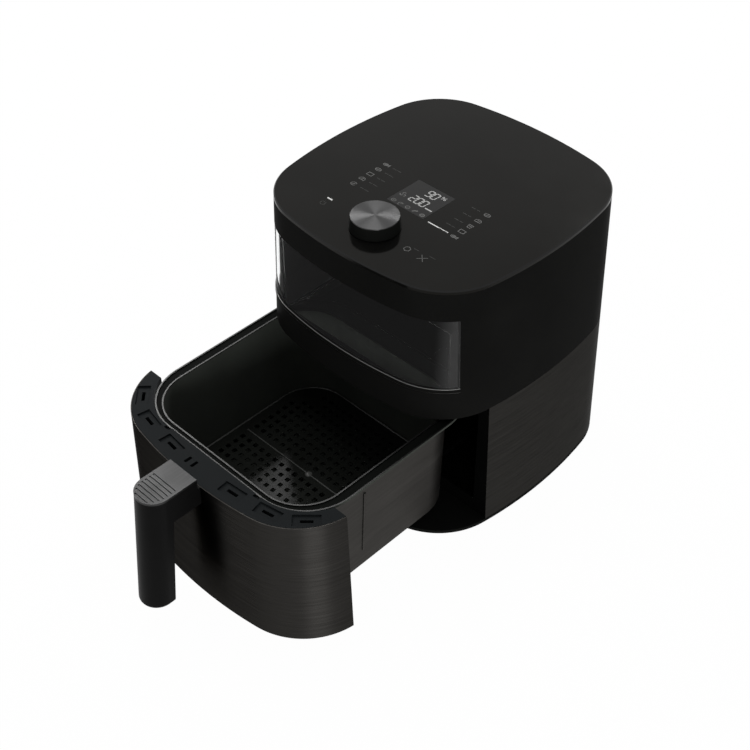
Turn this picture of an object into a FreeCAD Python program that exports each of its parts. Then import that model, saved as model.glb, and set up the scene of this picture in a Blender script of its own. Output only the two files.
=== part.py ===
import FreeCAD, Part
import math
import os
from FreeCAD import Vector

# Air fryer with a pull-out drawer, in millimetres, +Z up, front towards -Y.
# It is modelled about the body's own centre line and stands on z = 0.

# Outline of the body at its top face: four bowed sides and four round corners
TOP_HALF_WIDTH = 140.0
TOP_HALF_DEPTH = 143.0
FRONT_BOW_RADIUS = 454.0
SIDE_BOW_RADIUS = 473.0
CORNER_RADIUS = 69.0
FLARE = 10.0
BODY_HEIGHT = 308.0
FOOT_GAP = 3.0

# Heights above the base, bands above the seam and drops below the top
BASE_RIM = 4.0
SEAM_HEIGHT = 157.0
WINDOW_BAND = 38.0
WINDOW_DROP = 34.0
VENT_DROP = 40.0
VENT_HEIGHT = 56.0
LINER_DROP = 53.0
BAY_FLOOR_DROP = 4.0
GLAND_HEIGHT = 34.0

# Walls and clearances
SHELL_WALL = 3.0
SLEEVE_WALL = 1.2
FRAME_WALL = 3.0
SHEET = 1.2
GLASS = 3.0
FIT = 0.2
RUNNING_FIT = 0.03
SLIDE_GAP = 0.4

# Openings, set back from the front of the top outline
SPLIT_SETBACK = 64.0
SPLIT_GAP = 1.0
WINDOW_WRAP = 34.0
SILL_DEPTH = 5.0
SILL_PROUD = 0.8
VENT_HALF_WIDTH = 62.0
VENT_SLATS = 7
VENT_BORDER = 5.0
DUCT_MARGIN = 8.0

# Top panel and controls
PANEL_THICKNESS = 4.0
PANEL_BEVEL = 1.2
DISPLAY_WIDTH = 48.0
DISPLAY_DEPTH = 46.0
DISPLAY_SETBACK = 112.0
LENS_THICKNESS = 1.0
BOARD_HALF_WIDTH = 46.0
BOARD_FRONT_MARGIN = 19.5
BOARD_BACK_MARGIN = 4.0
BOARD_DROP = 8.0
BOARD_THICKNESS = 1.6
BOARD_POST_RADIUS = 3.5
BOARD_POST_MARGIN = 6.0
KNOB_SETBACK = 49.5
KNOB_BASE_RADIUS = 24.8
KNOB_TOP_RADIUS = 23.6
KNOB_HEIGHT = 13.5
KNOB_GAP = 0.6
KNOB_WALL = 2.4
KNOB_CAP_MARGIN = 0.4
KNOB_CAP_THICKNESS = 1.0
KNOB_BOSS_RADIUS = 6.0
ENCODER_SHAFT_RADIUS = 3.0
ENCODER_SIZE = 14.0
ENCODER_HEIGHT = 6.0
BUSHING_RADIUS = 4.6

# Cooking chamber
CHAMBER_CLEARANCE = 1.0
DECK_THICKNESS = 3.0
LINER_FLANGE = 6.0
POST_Y = 55.0
POST_RADIUS = 5.0
HEATER_MARGIN = 24.0
HEATER_TUBE_RADIUS = 3.4
HEATER_DROP = 22.0
HEATER_GAP_ANGLE = 40.0
HEATER_LEAD_RISE = 12.0
INSULATOR_WALL = 2.6
INSULATOR_DEPTH = 4.0
CLIP_WIDTH = 6.0
CLIP_THICKNESS = 1.6
PROBE_Y = 30.0
PROBE_RADIUS = 2.0
PROBE_REACH = 22.0
PROBE_HEAD_RADIUS = 5.0
PROBE_HEAD_LENGTH = 7.0
LAMP_Y = 8.0
LAMP_RADIUS = 11.0
LAMP_DEPTH = 15.0
LAMP_LENS_RADIUS = 8.0

# Motor and fans on one upright shaft
SHAFT_RADIUS = 3.0
FAN_MARGIN = 20.0
FAN_BLADES = 12
FAN_BLADE_HEIGHT = 9.0
FAN_HUB_RADIUS = 9.0
FAN_LINER_GAP = 4.0
MOTOR_RADIUS = 26.0
MOTOR_HEIGHT = 18.0
MOTOR_BORE_RADIUS = 8.0
BEARING_HEIGHT = 4.0
BRACKET_HALF_LENGTH = 40.0
BRACKET_HALF_WIDTH = 22.0
BRACKET_LIFT = 5.0
BRACKET_THICKNESS = 2.0
COOLING_FAN_RADIUS = 40.0
COOLING_BLADES = 9
COOLING_BLADE_HEIGHT = 3.4
COOLING_GAP = 1.4

# Base, feet and cord inlet
FOOT_RADIUS = 12.0
FOOT_INSET = 50.0
FOOT_STEM_RADIUS = 4.0
BASE_POST_RADIUS = 5.0
BASE_SLOTS = 8
BASE_SLOT_LENGTH = 60.0
BASE_SLOT_WIDTH = 4.0
BASE_SLOT_PITCH = 11.0
POWER_BOARD_HALF_WIDTH = 48.0
POWER_BOARD_DEPTH = 64.0
POWER_BOARD_SETBACK = 39.0
POWER_BOARD_LIFT = 4.0
GLAND_RADIUS = 8.0
GLAND_BORE_RADIUS = 4.0
GLAND_FLANGE_RADIUS = 12.0
GLAND_FLANGE_LENGTH = 4.0

# Drawer pan, measured with the drawer closed
OPEN_CLEARANCE = 3.5
PAN_SIDE_MARGIN = 29.0
PAN_FRONT_MARGIN = 33.0
PAN_REAR_MARGIN = 37.0
PAN_CORNER_RADIUS = 45.0
PAN_DRAFT = 5.0
PAN_WALL = 1.5
PAN_RIM_DROP = 4.0
PAN_BOTTOM_HEIGHT = 25.0
PAN_BEAD = 1.2
FLANGE_SIDE = 12.0
FLANGE_FRONT = 7.0
FLANGE_REAR = 22.0
PAN_RIB_OFFSET = 30.0
PAN_RIB_RADIUS = 1.4
PAN_RIB_MARGIN = 22.0
RAIL_HEIGHT = 10.0
RAIL_REAR_MARGIN = 8.0
BAY_GAP = 2.5
PAN_UNDER_GAP = 4.0
RUNNER_X = 58.0
RUNNER_WIDTH = 8.0
RUNNER_HOLD = 10.0

# Crisper plate, which lies in the pan
PLATE_LIFT = 23.0
PLATE_THICKNESS = 1.5
PLATE_GAP = 3.0
HOLE_SIZE = 5.0
HOLE_PITCH = 10.0
LEG_RADIUS = 3.0
LEG_MARGIN = 30.0
BUMPER_RADIUS = 5.5
BUMPER_HEIGHT = 5.0

# Drawer front
FRONT_BOTTOM_HEIGHT = 5.0
SKIN_WALL = 1.0
CORE_WALL = 2.5
RIM_DROP = 1.0
RIM_THICKNESS = 7.0
WING_GAP = 4.0
POCKET_DEPTH = 2.0
POCKET_WIDTH = 13.0
SLOT_WIDTH = 3.2
SLOT_LENGTH = 12.0
POCKET_LENGTH = 26.0
POCKET_X = (43.0, 84.0)
CORNER_SLOT_ANGLES = (44.0,)
CENTRE_SLOT_X = (-16.8, -8.0)
CENTRE_SLOT_LENGTH = 8.0
RIM_NOTCH_X = 63.0
RIM_NOTCH_WIDTH = 7.0
RIM_NOTCH_DEPTH = 4.0
PAN_BRACKET_HALF_WIDTH = 42.0
PAN_BRACKET_HEIGHT = 30.0
SCREW_RADIUS = 2.0
SCREW_HEAD_RADIUS = 4.0
SCREW_HEAD_HEIGHT = 2.6
PAN_SCREW_X = 28.0

# Handle
HANDLE_HALF_WIDTH = 18.4
HANDLE_REACH = 59.4
HANDLE_RISE = 11.0
HANDLE_LENGTH = 135.0
HANDLE_LEAN = 15.0
HANDLE_SHELL_GAP = 2.6
GRIP_DEPTH = 25.0
GRIP_FILLET = 4.0
NECK_HEIGHT = 30.0
CAP_THICKNESS = 2.4
CAP_GROOVES = 7
CAP_GROOVE_PITCH = 4.4
CAP_GROOVE_WIDTH = 1.8
CAP_GROOVE_DEPTH = 0.8
CAP_GROOVE_MARGIN = 3.0
HANDLE_SCREW_X = 9.0


def level(height):
    """Height above the table of a height above the base."""
    return FOOT_GAP + height


# Levels that follow from the dimensions
BASE_Z = level(0.0)
BASE_TOP_Z = level(BASE_RIM)
SEAM_Z = level(SEAM_HEIGHT)
TOP_Z = level(BODY_HEIGHT)
PANEL_Z = TOP_Z - PANEL_THICKNESS
DECK_TOP_Z = SEAM_Z + DECK_THICKNESS
LINER_TOP_Z = TOP_Z - LINER_DROP
LINER_CEILING_Z = LINER_TOP_Z - SHEET
WINDOW_Z = SEAM_Z + WINDOW_BAND
WINDOW_TOP_Z = TOP_Z - WINDOW_DROP
SILL_Z = WINDOW_Z - SILL_DEPTH
VENT_TOP_Z = TOP_Z - VENT_DROP
VENT_Z = VENT_TOP_Z - VENT_HEIGHT
BOARD_TOP_Z = PANEL_Z - BOARD_DROP
BOARD_Z = BOARD_TOP_Z - BOARD_THICKNESS
FRAME_INSET = SLEEVE_WALL + FIT
FRAME_INNER = FRAME_INSET + FRAME_WALL
PAN_RIM_Z = SEAM_Z - PAN_RIM_DROP
PAN_BOTTOM_Z = level(PAN_BOTTOM_HEIGHT)
FACADE_SILL_Z = PAN_BOTTOM_Z - PAN_UNDER_GAP
BAY_FLOOR_Z = FACADE_SILL_Z - BAY_FLOOR_DROP
PAN_FLOOR_Z = PAN_BOTTOM_Z + PAN_WALL
FLANGE_Z = PAN_RIM_Z - PAN_WALL
FRONT_BOTTOM_Z = level(FRONT_BOTTOM_HEIGHT)
FRONT_TOP_Z = SEAM_Z - RIM_DROP
RIM_Z = FRONT_TOP_Z - RIM_THICKNESS
PLATE_Z = PAN_BOTTOM_Z + PLATE_LIFT

# Places along the depth and the width that follow from the outline
REACH = TOP_HALF_WIDTH + TOP_HALF_DEPTH + BODY_HEIGHT
SPLIT_Y = SPLIT_SETBACK - TOP_HALF_DEPTH
WINDOW_END_Y = WINDOW_WRAP - TOP_HALF_DEPTH
DISPLAY_Y = DISPLAY_SETBACK - TOP_HALF_DEPTH
KNOB_Y = KNOB_SETBACK - TOP_HALF_DEPTH
BOARD_FRONT_Y = KNOB_Y - BOARD_FRONT_MARGIN
BOARD_BACK_Y = DISPLAY_Y + DISPLAY_DEPTH / 2.0 + BOARD_BACK_MARGIN
PAN_HALF_WIDTH = TOP_HALF_WIDTH - PAN_SIDE_MARGIN
PAN_FRONT_Y = PAN_FRONT_MARGIN - TOP_HALF_DEPTH
PAN_REAR_Y = TOP_HALF_DEPTH - PAN_REAR_MARGIN
PAN_CENTRE_Y = (PAN_FRONT_Y + PAN_REAR_Y) / 2.0
PAN_RIB_Y = PAN_CENTRE_Y - PAN_RIB_OFFSET
OPEN_TRAVEL = PAN_REAR_Y + PAN_WALL - SPLIT_Y + OPEN_CLEARANCE
RAIL_REAR_Y = PAN_REAR_Y - RAIL_REAR_MARGIN
FOOT_X = TOP_HALF_WIDTH - FOOT_INSET
FOOT_Y = TOP_HALF_DEPTH - FOOT_INSET
POWER_BOARD_BACK_Y = TOP_HALF_DEPTH - POWER_BOARD_SETBACK
POWER_BOARD_FRONT_Y = POWER_BOARD_BACK_Y - POWER_BOARD_DEPTH

# Chamber walls stand just outside the pan's mouth
CHAMBER_HALF_WIDTH = PAN_HALF_WIDTH + CHAMBER_CLEARANCE
CHAMBER_FRONT_Y = PAN_FRONT_Y - CHAMBER_CLEARANCE
CHAMBER_REAR_Y = PAN_REAR_Y + CHAMBER_CLEARANCE
CHAMBER_CORNER = PAN_CORNER_RADIUS + CHAMBER_CLEARANCE
FAN_Y = PAN_CENTRE_Y
HEATER_RADIUS = CHAMBER_HALF_WIDTH - HEATER_MARGIN
FAN_RADIUS = HEATER_RADIUS - FAN_MARGIN
SIDE_BOW_AT_POST = SIDE_BOW_RADIUS - math.sqrt(SIDE_BOW_RADIUS ** 2 - POST_Y ** 2)
POST_X = (CHAMBER_HALF_WIDTH + SHEET + TOP_HALF_WIDTH - SIDE_BOW_AT_POST - SHELL_WALL) / 2.0

# Motor stack upwards from the chamber's ceiling
BRACKET_Z = LINER_TOP_Z + BRACKET_LIFT
MOTOR_Z = BRACKET_Z + BRACKET_THICKNESS
MOTOR_TOP_Z = MOTOR_Z + MOTOR_HEIGHT
COOLING_Z = MOTOR_TOP_Z + COOLING_GAP
COOLING_TOP_Z = COOLING_Z + SHEET + COOLING_BLADE_HEIGHT
FAN_TOP_Z = LINER_CEILING_Z - FAN_LINER_GAP
FAN_Z = FAN_TOP_Z - SHEET - FAN_BLADE_HEIGHT
HEATER_Z = LINER_CEILING_Z - HEATER_DROP

# Drawer front and handle, measured with the drawer closed
WING_Y = SPLIT_Y - SPLIT_GAP
CUT_FRONT_Y = PAN_FRONT_Y - FLANGE_FRONT - SLIDE_GAP
CUT_HALF_WIDTH = PAN_HALF_WIDTH + FLANGE_SIDE + WING_GAP
CUT_CORNER = PAN_CORNER_RADIUS + FLANGE_SIDE + WING_GAP
CORE_BACK_Y = CUT_FRONT_Y - CORE_WALL
HANDLE_TOP_Z = SEAM_Z + HANDLE_RISE
HANDLE_BOTTOM_Z = HANDLE_TOP_Z - HANDLE_LENGTH
CAP_Z = HANDLE_TOP_Z - CAP_THICKNESS
HANDLE_FRONT_Y = -TOP_HALF_DEPTH - HANDLE_REACH
HANDLE_ROUND_Y = HANDLE_FRONT_Y + HANDLE_HALF_WIDTH
NECK_Z = CAP_Z - NECK_HEIGHT


def flare_at(z):
    """How far the side stands out at a height, against the top outline."""
    return FLARE * (TOP_Z - z) / BODY_HEIGHT


HANDLE_BACK_Y = -TOP_HALF_DEPTH - flare_at(SEAM_Z) - HANDLE_SHELL_GAP
GLAND_Z = level(GLAND_HEIGHT)
GLAND_WALL_Y = TOP_HALF_DEPTH + flare_at(GLAND_Z - GLAND_FLANGE_RADIUS)
GLAND_END_Y = GLAND_WALL_Y + FIT + GLAND_FLANGE_LENGTH

# The origin lies under the middle of the whole object with its drawer out
FRONT_REACH_Y = HANDLE_FRONT_Y - HANDLE_LEAN - OPEN_TRAVEL
ORIGIN_SHIFT = -(FRONT_REACH_Y + GLAND_END_Y) / 2.0


def corner_centre():
    """Centre of the back right corner arc, tangent inside both side bows."""
    back = Vector(0.0, TOP_HALF_DEPTH - FRONT_BOW_RADIUS, 0.0)
    right = Vector(TOP_HALF_WIDTH - SIDE_BOW_RADIUS, 0.0, 0.0)
    back_reach = FRONT_BOW_RADIUS - CORNER_RADIUS
    right_reach = SIDE_BOW_RADIUS - CORNER_RADIUS
    between = right.sub(back)
    span = between.Length
    along = (back_reach ** 2 - right_reach ** 2 + span ** 2) / (2.0 * span)
    aside = math.sqrt(back_reach ** 2 - along ** 2)
    unit = between.multiply(1.0 / span)
    foot = back.add(Vector(unit).multiply(along))
    normal = Vector(unit.y, -unit.x, 0.0)
    return foot.add(normal.multiply(aside))


CORNER = corner_centre()


def arc_about(centre, radius, start, end, z):
    """Arc edge about a point, between two angles in radians."""
    points = []
    for angle in (start, (start + end) / 2.0, end):
        points.append(Vector(centre.x + radius * math.cos(angle), centre.y + radius * math.sin(angle), z))
    return Part.Arc(*points).toShape()


def outline(z, inset):
    """Closed outline of the body at a height, set in from its outer face."""
    grow = flare_at(z) - inset
    back = Vector(0.0, TOP_HALF_DEPTH - FRONT_BOW_RADIUS, 0.0)
    right = Vector(TOP_HALF_WIDTH - SIDE_BOW_RADIUS, 0.0, 0.0)
    side_end = math.atan2(CORNER.y - right.y, CORNER.x - right.x)
    back_end = math.atan2(CORNER.y - back.y, CORNER.x - back.x)
    half = math.pi / 2.0
    side = SIDE_BOW_RADIUS + grow
    bow = FRONT_BOW_RADIUS + grow
    round_radius = CORNER_RADIUS + grow
    quarter = [
        (right, side, -side_end, side_end),
        (CORNER, round_radius, side_end, back_end),
        (back, bow, back_end, 2.0 * half - back_end),
        (Vector(-CORNER.x, CORNER.y, 0.0), round_radius, 2.0 * half - back_end, 2.0 * half - side_end),
    ]
    edges = []
    for centre, radius, start, end in quarter:
        edges.append(arc_about(centre, radius, start, end, z))
    for centre, radius, start, end in quarter:
        edges.append(arc_about(centre.negative(), radius, start + 2.0 * half, end + 2.0 * half, z))
    return Part.Wire(edges)


def body_block(z0, z1, inset, top_inset=None):
    """Solid of the body's outline between two heights."""
    if top_inset is None:
        top_inset = inset
    return Part.makeLoft([outline(z0, inset), outline(z1, top_inset)], True, True)


def body_tube(z0, z1, outer, inner):
    """Wall of the body's outline between two heights and two insets."""
    return body_block(z0, z1, outer).cut(body_block(z0, z1, inner))


def box(x0, x1, y0, y1, z0, z1):
    return Part.makeBox(x1 - x0, y1 - y0, z1 - z0, Vector(x0, y0, z0))


def post(x, y, z0, z1, radius):
    return Part.makeCylinder(radius, z1 - z0, Vector(x, y, z0))


def ring(x, y, z0, z1, outer, inner):
    return post(x, y, z0, z1, outer).cut(post(x, y, z0, z1, inner))


def rod_y(x, z, y0, y1, radius):
    return Part.makeCylinder(radius, y1 - y0, Vector(x, y0, z), Vector(0, 1, 0))


def rod_x(y, z, x0, x1, radius):
    return Part.makeCylinder(radius, x1 - x0, Vector(x0, y, z), Vector(1, 0, 0))


def in_front_of(y):
    return box(-REACH, REACH, -REACH, y, -REACH, REACH)


def behind(y):
    return box(-REACH, REACH, y, REACH, -REACH, REACH)


def rounded_wire(half_x, y0, y1, radius, z):
    """Rectangle with four round corners, about the centre line."""
    inner_x = half_x - radius
    low = y0 + radius
    high = y1 - radius
    half = math.pi / 2.0
    corners = [
        (Vector(inner_x, low, 0), -half),
        (Vector(inner_x, high, 0), 0.0),
        (Vector(-inner_x, high, 0), half),
        (Vector(-inner_x, low, 0), 2.0 * half),
    ]
    edges = []
    for centre, start in corners:
        edges.append(arc_about(centre, radius, start, start + half, z))
    joined = []
    for index, edge in enumerate(edges):
        following = edges[(index + 1) % 4]
        joined.append(edge)
        joined.append(Part.LineSegment(edge.lastVertex().Point, following.firstVertex().Point).toShape())
    return Part.Wire(joined)


def rounded_block(half_x, y0, y1, radius, z0, z1):
    face = Part.Face(rounded_wire(half_x, y0, y1, radius, z0))
    return face.extrude(Vector(0, 0, z1 - z0))


def joined(shapes):
    whole = shapes[0].fuse(shapes[1:])
    return whole.removeSplitter()


# Upper body

def upper_shell():
    shell = body_tube(SEAM_Z, PANEL_Z, 0.0, SHELL_WALL)
    window = box(-REACH, REACH, -REACH, WINDOW_END_Y, SILL_Z, WINDOW_TOP_Z)
    vent = box(-VENT_HALF_WIDTH, VENT_HALF_WIDTH, 0.0, REACH, VENT_Z, VENT_TOP_Z)
    return shell.cut(window).cut(vent)


def window_sill():
    outer = body_block(SILL_Z, WINDOW_Z, -SILL_PROUD)
    strip = outer.cut(body_block(SILL_Z, WINDOW_Z, SHELL_WALL))
    return strip.common(in_front_of(WINDOW_END_Y))


def window_glass():
    pane = body_tube(WINDOW_Z, WINDOW_TOP_Z, FIT, FIT + GLASS)
    return pane.common(in_front_of(WINDOW_END_Y))


def rear_grille():
    half = VENT_HALF_WIDTH - FIT
    low = VENT_Z + FIT
    high = VENT_TOP_Z - FIT
    grille = body_tube(low, high, FIT, SHELL_WALL)
    grille = grille.common(box(-half, half, 0.0, REACH, low, high))
    pitch = (high - low - VENT_BORDER) / VENT_SLATS
    slots = []
    for index in range(VENT_SLATS):
        start = low + VENT_BORDER + index * pitch
        slots.append(box(VENT_BORDER - half, half - VENT_BORDER, 0.0, REACH, start, start + pitch - VENT_BORDER / 2.0))
    return grille.cut(Part.makeCompound(slots))


def board_post_places():
    x = BOARD_HALF_WIDTH - BOARD_POST_MARGIN
    front = BOARD_FRONT_Y + BOARD_POST_MARGIN
    back = BOARD_BACK_Y - BOARD_POST_MARGIN
    return [(side * x, y) for side in (-1, 1) for y in (front, back)]


def top_panel():
    slab = body_block(PANEL_Z, TOP_Z - PANEL_BEVEL, 0.0)
    bevel = body_block(TOP_Z - PANEL_BEVEL, TOP_Z, 0.0, PANEL_BEVEL)
    posts = [post(x, y, BOARD_TOP_Z, PANEL_Z, BOARD_POST_RADIUS) for x, y in board_post_places()]
    panel = joined([slab, bevel] + posts)
    half = DISPLAY_WIDTH / 2.0
    pocket = box(-half, half, DISPLAY_Y - DISPLAY_DEPTH / 2.0, DISPLAY_Y + DISPLAY_DEPTH / 2.0,
                 TOP_Z - LENS_THICKNESS, TOP_Z + REACH)
    shaft_hole = post(0.0, KNOB_Y, PANEL_Z, TOP_Z, BUSHING_RADIUS + FIT)
    return panel.cut(pocket).cut(shaft_hole)


def display_lens():
    half = DISPLAY_WIDTH / 2.0 - FIT
    deep = DISPLAY_DEPTH / 2.0 - FIT
    return box(-half, half, DISPLAY_Y - deep, DISPLAY_Y + deep, TOP_Z - LENS_THICKNESS, TOP_Z)


def display_module():
    half = DISPLAY_WIDTH / 2.0
    deep = DISPLAY_DEPTH / 2.0
    return box(-half, half, DISPLAY_Y - deep, DISPLAY_Y + deep, BOARD_TOP_Z, PANEL_Z)


def control_board():
    board = box(-BOARD_HALF_WIDTH, BOARD_HALF_WIDTH, BOARD_FRONT_Y, BOARD_BACK_Y, BOARD_Z, BOARD_TOP_Z)
    holes = [post(x, y, BOARD_Z, BOARD_TOP_Z, SCREW_RADIUS + FIT) for x, y in board_post_places()]
    return board.cut(Part.makeCompound(holes))


def board_screws():
    heads = []
    for x, y in board_post_places():
        head = post(x, y, BOARD_Z - SCREW_HEAD_HEIGHT, BOARD_Z, SCREW_HEAD_RADIUS)
        heads.append(joined([head, post(x, y, BOARD_Z, BOARD_TOP_Z, SCREW_RADIUS)]))
    return Part.makeCompound(heads)


def rotary_encoder():
    half = ENCODER_SIZE / 2.0
    top = BOARD_TOP_Z + ENCODER_HEIGHT
    case = box(-half, half, KNOB_Y - half, KNOB_Y + half, BOARD_TOP_Z, top)
    bushing = post(0.0, KNOB_Y, top, TOP_Z, BUSHING_RADIUS)
    bore = post(0.0, KNOB_Y, BOARD_TOP_Z + SHEET, TOP_Z, ENCODER_SHAFT_RADIUS + RUNNING_FIT)
    return joined([case, bushing]).cut(bore)


def knob_ceiling():
    return TOP_Z + KNOB_HEIGHT - KNOB_CAP_THICKNESS - KNOB_WALL


def encoder_shaft():
    return post(0.0, KNOB_Y, BOARD_TOP_Z + SHEET + FIT, knob_ceiling(), ENCODER_SHAFT_RADIUS)


def knob_body():
    low = TOP_Z + KNOB_GAP
    high = TOP_Z + KNOB_HEIGHT - KNOB_CAP_THICKNESS
    foot = Vector(0.0, KNOB_Y, low)
    skirt = Part.makeCone(KNOB_BASE_RADIUS, KNOB_TOP_RADIUS, high - low, foot)
    hollow = post(0.0, KNOB_Y, low, knob_ceiling(), KNOB_TOP_RADIUS - KNOB_WALL)
    boss = ring(0.0, KNOB_Y, low, knob_ceiling(), KNOB_BOSS_RADIUS, ENCODER_SHAFT_RADIUS + RUNNING_FIT)
    return joined([skirt.cut(hollow), boss])


def knob_cap():
    high = TOP_Z + KNOB_HEIGHT
    disc = post(0.0, KNOB_Y, high - KNOB_CAP_THICKNESS, high, KNOB_TOP_RADIUS - KNOB_CAP_MARGIN)
    rim = [edge for edge in disc.Edges if edge.Closed and abs(edge.BoundBox.ZMin - high) < FIT]
    return disc.makeFillet(KNOB_CAP_THICKNESS / 3.0, rim)


# Cooking chamber

def chamber_plan(grow, z0, z1):
    """Block of the chamber's plan: square at the front, round at the rear."""
    half = CHAMBER_HALF_WIDTH + grow
    rear = CHAMBER_REAR_Y + grow
    back = rounded_block(half, CHAMBER_FRONT_Y, rear, CHAMBER_CORNER + grow, z0, z1)
    front = box(-half, half, CHAMBER_FRONT_Y, 0.0, z0, z1)
    return joined([back, front])


def frame_post_places():
    return [(x * POST_X, y * POST_Y) for x in (-1, 1) for y in (-1, 1)]


def chamber_deck():
    plate = body_block(SEAM_Z, DECK_TOP_Z, SHELL_WALL + FIT)
    plate = plate.cut(chamber_plan(0.0, SEAM_Z, DECK_TOP_Z))
    posts = [post(x, y, DECK_TOP_Z, PANEL_Z, POST_RADIUS) for x, y in frame_post_places()]
    return joined([plate] + posts)


def heater_ends():
    spread = math.radians(HEATER_GAP_ANGLE / 2.0)
    middle = math.pi / 2.0
    places = []
    for angle in (middle - spread, middle + spread):
        places.append((HEATER_RADIUS * math.cos(angle), FAN_Y + HEATER_RADIUS * math.sin(angle)))
    return places


def duct_sides():
    return VENT_HALF_WIDTH - DUCT_MARGIN, VENT_Z + DUCT_MARGIN, LINER_CEILING_Z - DUCT_MARGIN


def lamp_z():
    return (DECK_TOP_Z + HEATER_Z) / 2.0


def probe_z():
    return HEATER_Z - FAN_BLADE_HEIGHT


def chamber_liner():
    outer = chamber_plan(SHEET, DECK_TOP_Z, LINER_TOP_Z)
    inner = chamber_plan(0.0, DECK_TOP_Z, LINER_CEILING_Z)
    flange = chamber_plan(LINER_FLANGE, DECK_TOP_Z, DECK_TOP_Z + SHEET).cut(inner)
    liner = joined([outer.cut(inner), flange])
    half, low, high = duct_sides()
    cuts = [box(-half, half, 0.0, REACH, low, high)]
    cuts.append(post(0.0, FAN_Y, LINER_CEILING_Z, LINER_TOP_Z, MOTOR_BORE_RADIUS))
    for x, y in heater_ends():
        cuts.append(post(x, y, LINER_CEILING_Z, LINER_TOP_Z, HEATER_TUBE_RADIUS + INSULATOR_WALL + FIT))
    cuts.append(rod_x(LAMP_Y, lamp_z(), 0.0, REACH, LAMP_LENS_RADIUS + FIT))
    cuts.append(rod_x(PROBE_Y, probe_z(), -REACH, 0.0, PROBE_RADIUS + FIT))
    return liner.cut(Part.makeCompound(cuts))


def inner_pane():
    half = CHAMBER_HALF_WIDTH + SHEET
    back = CHAMBER_FRONT_Y - FIT
    return box(-half, half, back - GLASS, back, DECK_TOP_Z, LINER_TOP_Z)


def exhaust_duct():
    half, low, high = duct_sides()
    front = CHAMBER_REAR_Y + SHEET + FIT
    outer = box(-half, half, front, REACH, low, high)
    inner = box(SHEET - half, half - SHEET, front, REACH, low + SHEET, high - SHEET)
    inside = body_block(VENT_Z, VENT_TOP_Z, SHELL_WALL + FIT)
    return outer.cut(inner).common(inside)


def heater_coil():
    ends = heater_ends()
    gap = HEATER_GAP_ANGLE / 2.0
    centre = Vector(0.0, FAN_Y, HEATER_Z)
    turn = 360.0 - HEATER_GAP_ANGLE
    loop = Part.makeTorus(HEATER_RADIUS, HEATER_TUBE_RADIUS, centre, Vector(0, 0, 1), 0, 360, turn)
    loop.rotate(centre, Vector(0, 0, 1), 90.0 + gap)
    leads = []
    for x, y in ends:
        leads.append(post(x, y, HEATER_Z, LINER_TOP_Z + HEATER_LEAD_RISE, HEATER_TUBE_RADIUS))
        leads.append(Part.makeSphere(HEATER_TUBE_RADIUS, Vector(x, y, HEATER_Z)))
    return loop.fuse(leads)


def heater_insulators():
    sleeves = []
    for x, y in heater_ends():
        outer = HEATER_TUBE_RADIUS + INSULATOR_WALL
        low = LINER_CEILING_Z - INSULATOR_DEPTH
        high = LINER_TOP_Z + INSULATOR_DEPTH
        sleeves.append(ring(x, y, low, high, outer, HEATER_TUBE_RADIUS + FIT))
    return Part.makeCompound(sleeves)


def heater_clips():
    clips = []
    for angle in (-30.0, 210.0, 270.0):
        low = HEATER_Z + HEATER_TUBE_RADIUS + FIT
        strap = box(HEATER_RADIUS - CLIP_WIDTH / 2.0, HEATER_RADIUS + CLIP_WIDTH / 2.0,
                    FAN_Y - CLIP_THICKNESS / 2.0, FAN_Y + CLIP_THICKNESS / 2.0, low, LINER_CEILING_Z)
        strap.rotate(Vector(0.0, FAN_Y, 0.0), Vector(0, 0, 1), angle)
        clips.append(strap)
    return Part.makeCompound(clips)


def temperature_probe():
    wall = -CHAMBER_HALF_WIDTH - SHEET
    head = rod_x(PROBE_Y, probe_z(), wall - PROBE_HEAD_LENGTH, wall, PROBE_HEAD_RADIUS)
    return joined([head, rod_x(PROBE_Y, probe_z(), wall, wall + PROBE_REACH, PROBE_RADIUS)])


def chamber_lamp():
    wall = CHAMBER_HALF_WIDTH + SHEET
    can = rod_x(LAMP_Y, lamp_z(), wall, wall + LAMP_DEPTH, LAMP_RADIUS)
    return can.cut(rod_x(LAMP_Y, lamp_z(), wall, wall + LAMP_DEPTH - SHELL_WALL, LAMP_LENS_RADIUS + FIT))


def lamp_lens():
    return rod_x(LAMP_Y, lamp_z(), CHAMBER_HALF_WIDTH, CHAMBER_HALF_WIDTH + SHEET + GLASS, LAMP_LENS_RADIUS)


# Motor and fans

def motor_bracket():
    plate = box(-BRACKET_HALF_LENGTH, BRACKET_HALF_LENGTH, FAN_Y - BRACKET_HALF_WIDTH,
                FAN_Y + BRACKET_HALF_WIDTH, BRACKET_Z, MOTOR_Z)
    legs = []
    for x in (-1, 1):
        for y in (-1, 1):
            leg_x = x * (BRACKET_HALF_LENGTH - POST_RADIUS)
            leg_y = FAN_Y + y * (BRACKET_HALF_WIDTH - POST_RADIUS)
            legs.append(post(leg_x, leg_y, LINER_TOP_Z, BRACKET_Z, POST_RADIUS))
    whole = joined([plate] + legs)
    return whole.cut(post(0.0, FAN_Y, BRACKET_Z, MOTOR_Z, MOTOR_BORE_RADIUS))


def motor():
    return ring(0.0, FAN_Y, MOTOR_Z, MOTOR_TOP_Z, MOTOR_RADIUS, MOTOR_BORE_RADIUS)


def motor_bearings():
    bearings = []
    for low in (MOTOR_Z, MOTOR_TOP_Z - BEARING_HEIGHT):
        bearings.append(ring(0.0, FAN_Y, low, low + BEARING_HEIGHT, MOTOR_BORE_RADIUS - RUNNING_FIT,
                             SHAFT_RADIUS + RUNNING_FIT))
    return Part.makeCompound(bearings)


def motor_shaft():
    return post(0.0, FAN_Y, FAN_Z, COOLING_TOP_Z, SHAFT_RADIUS)


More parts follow.
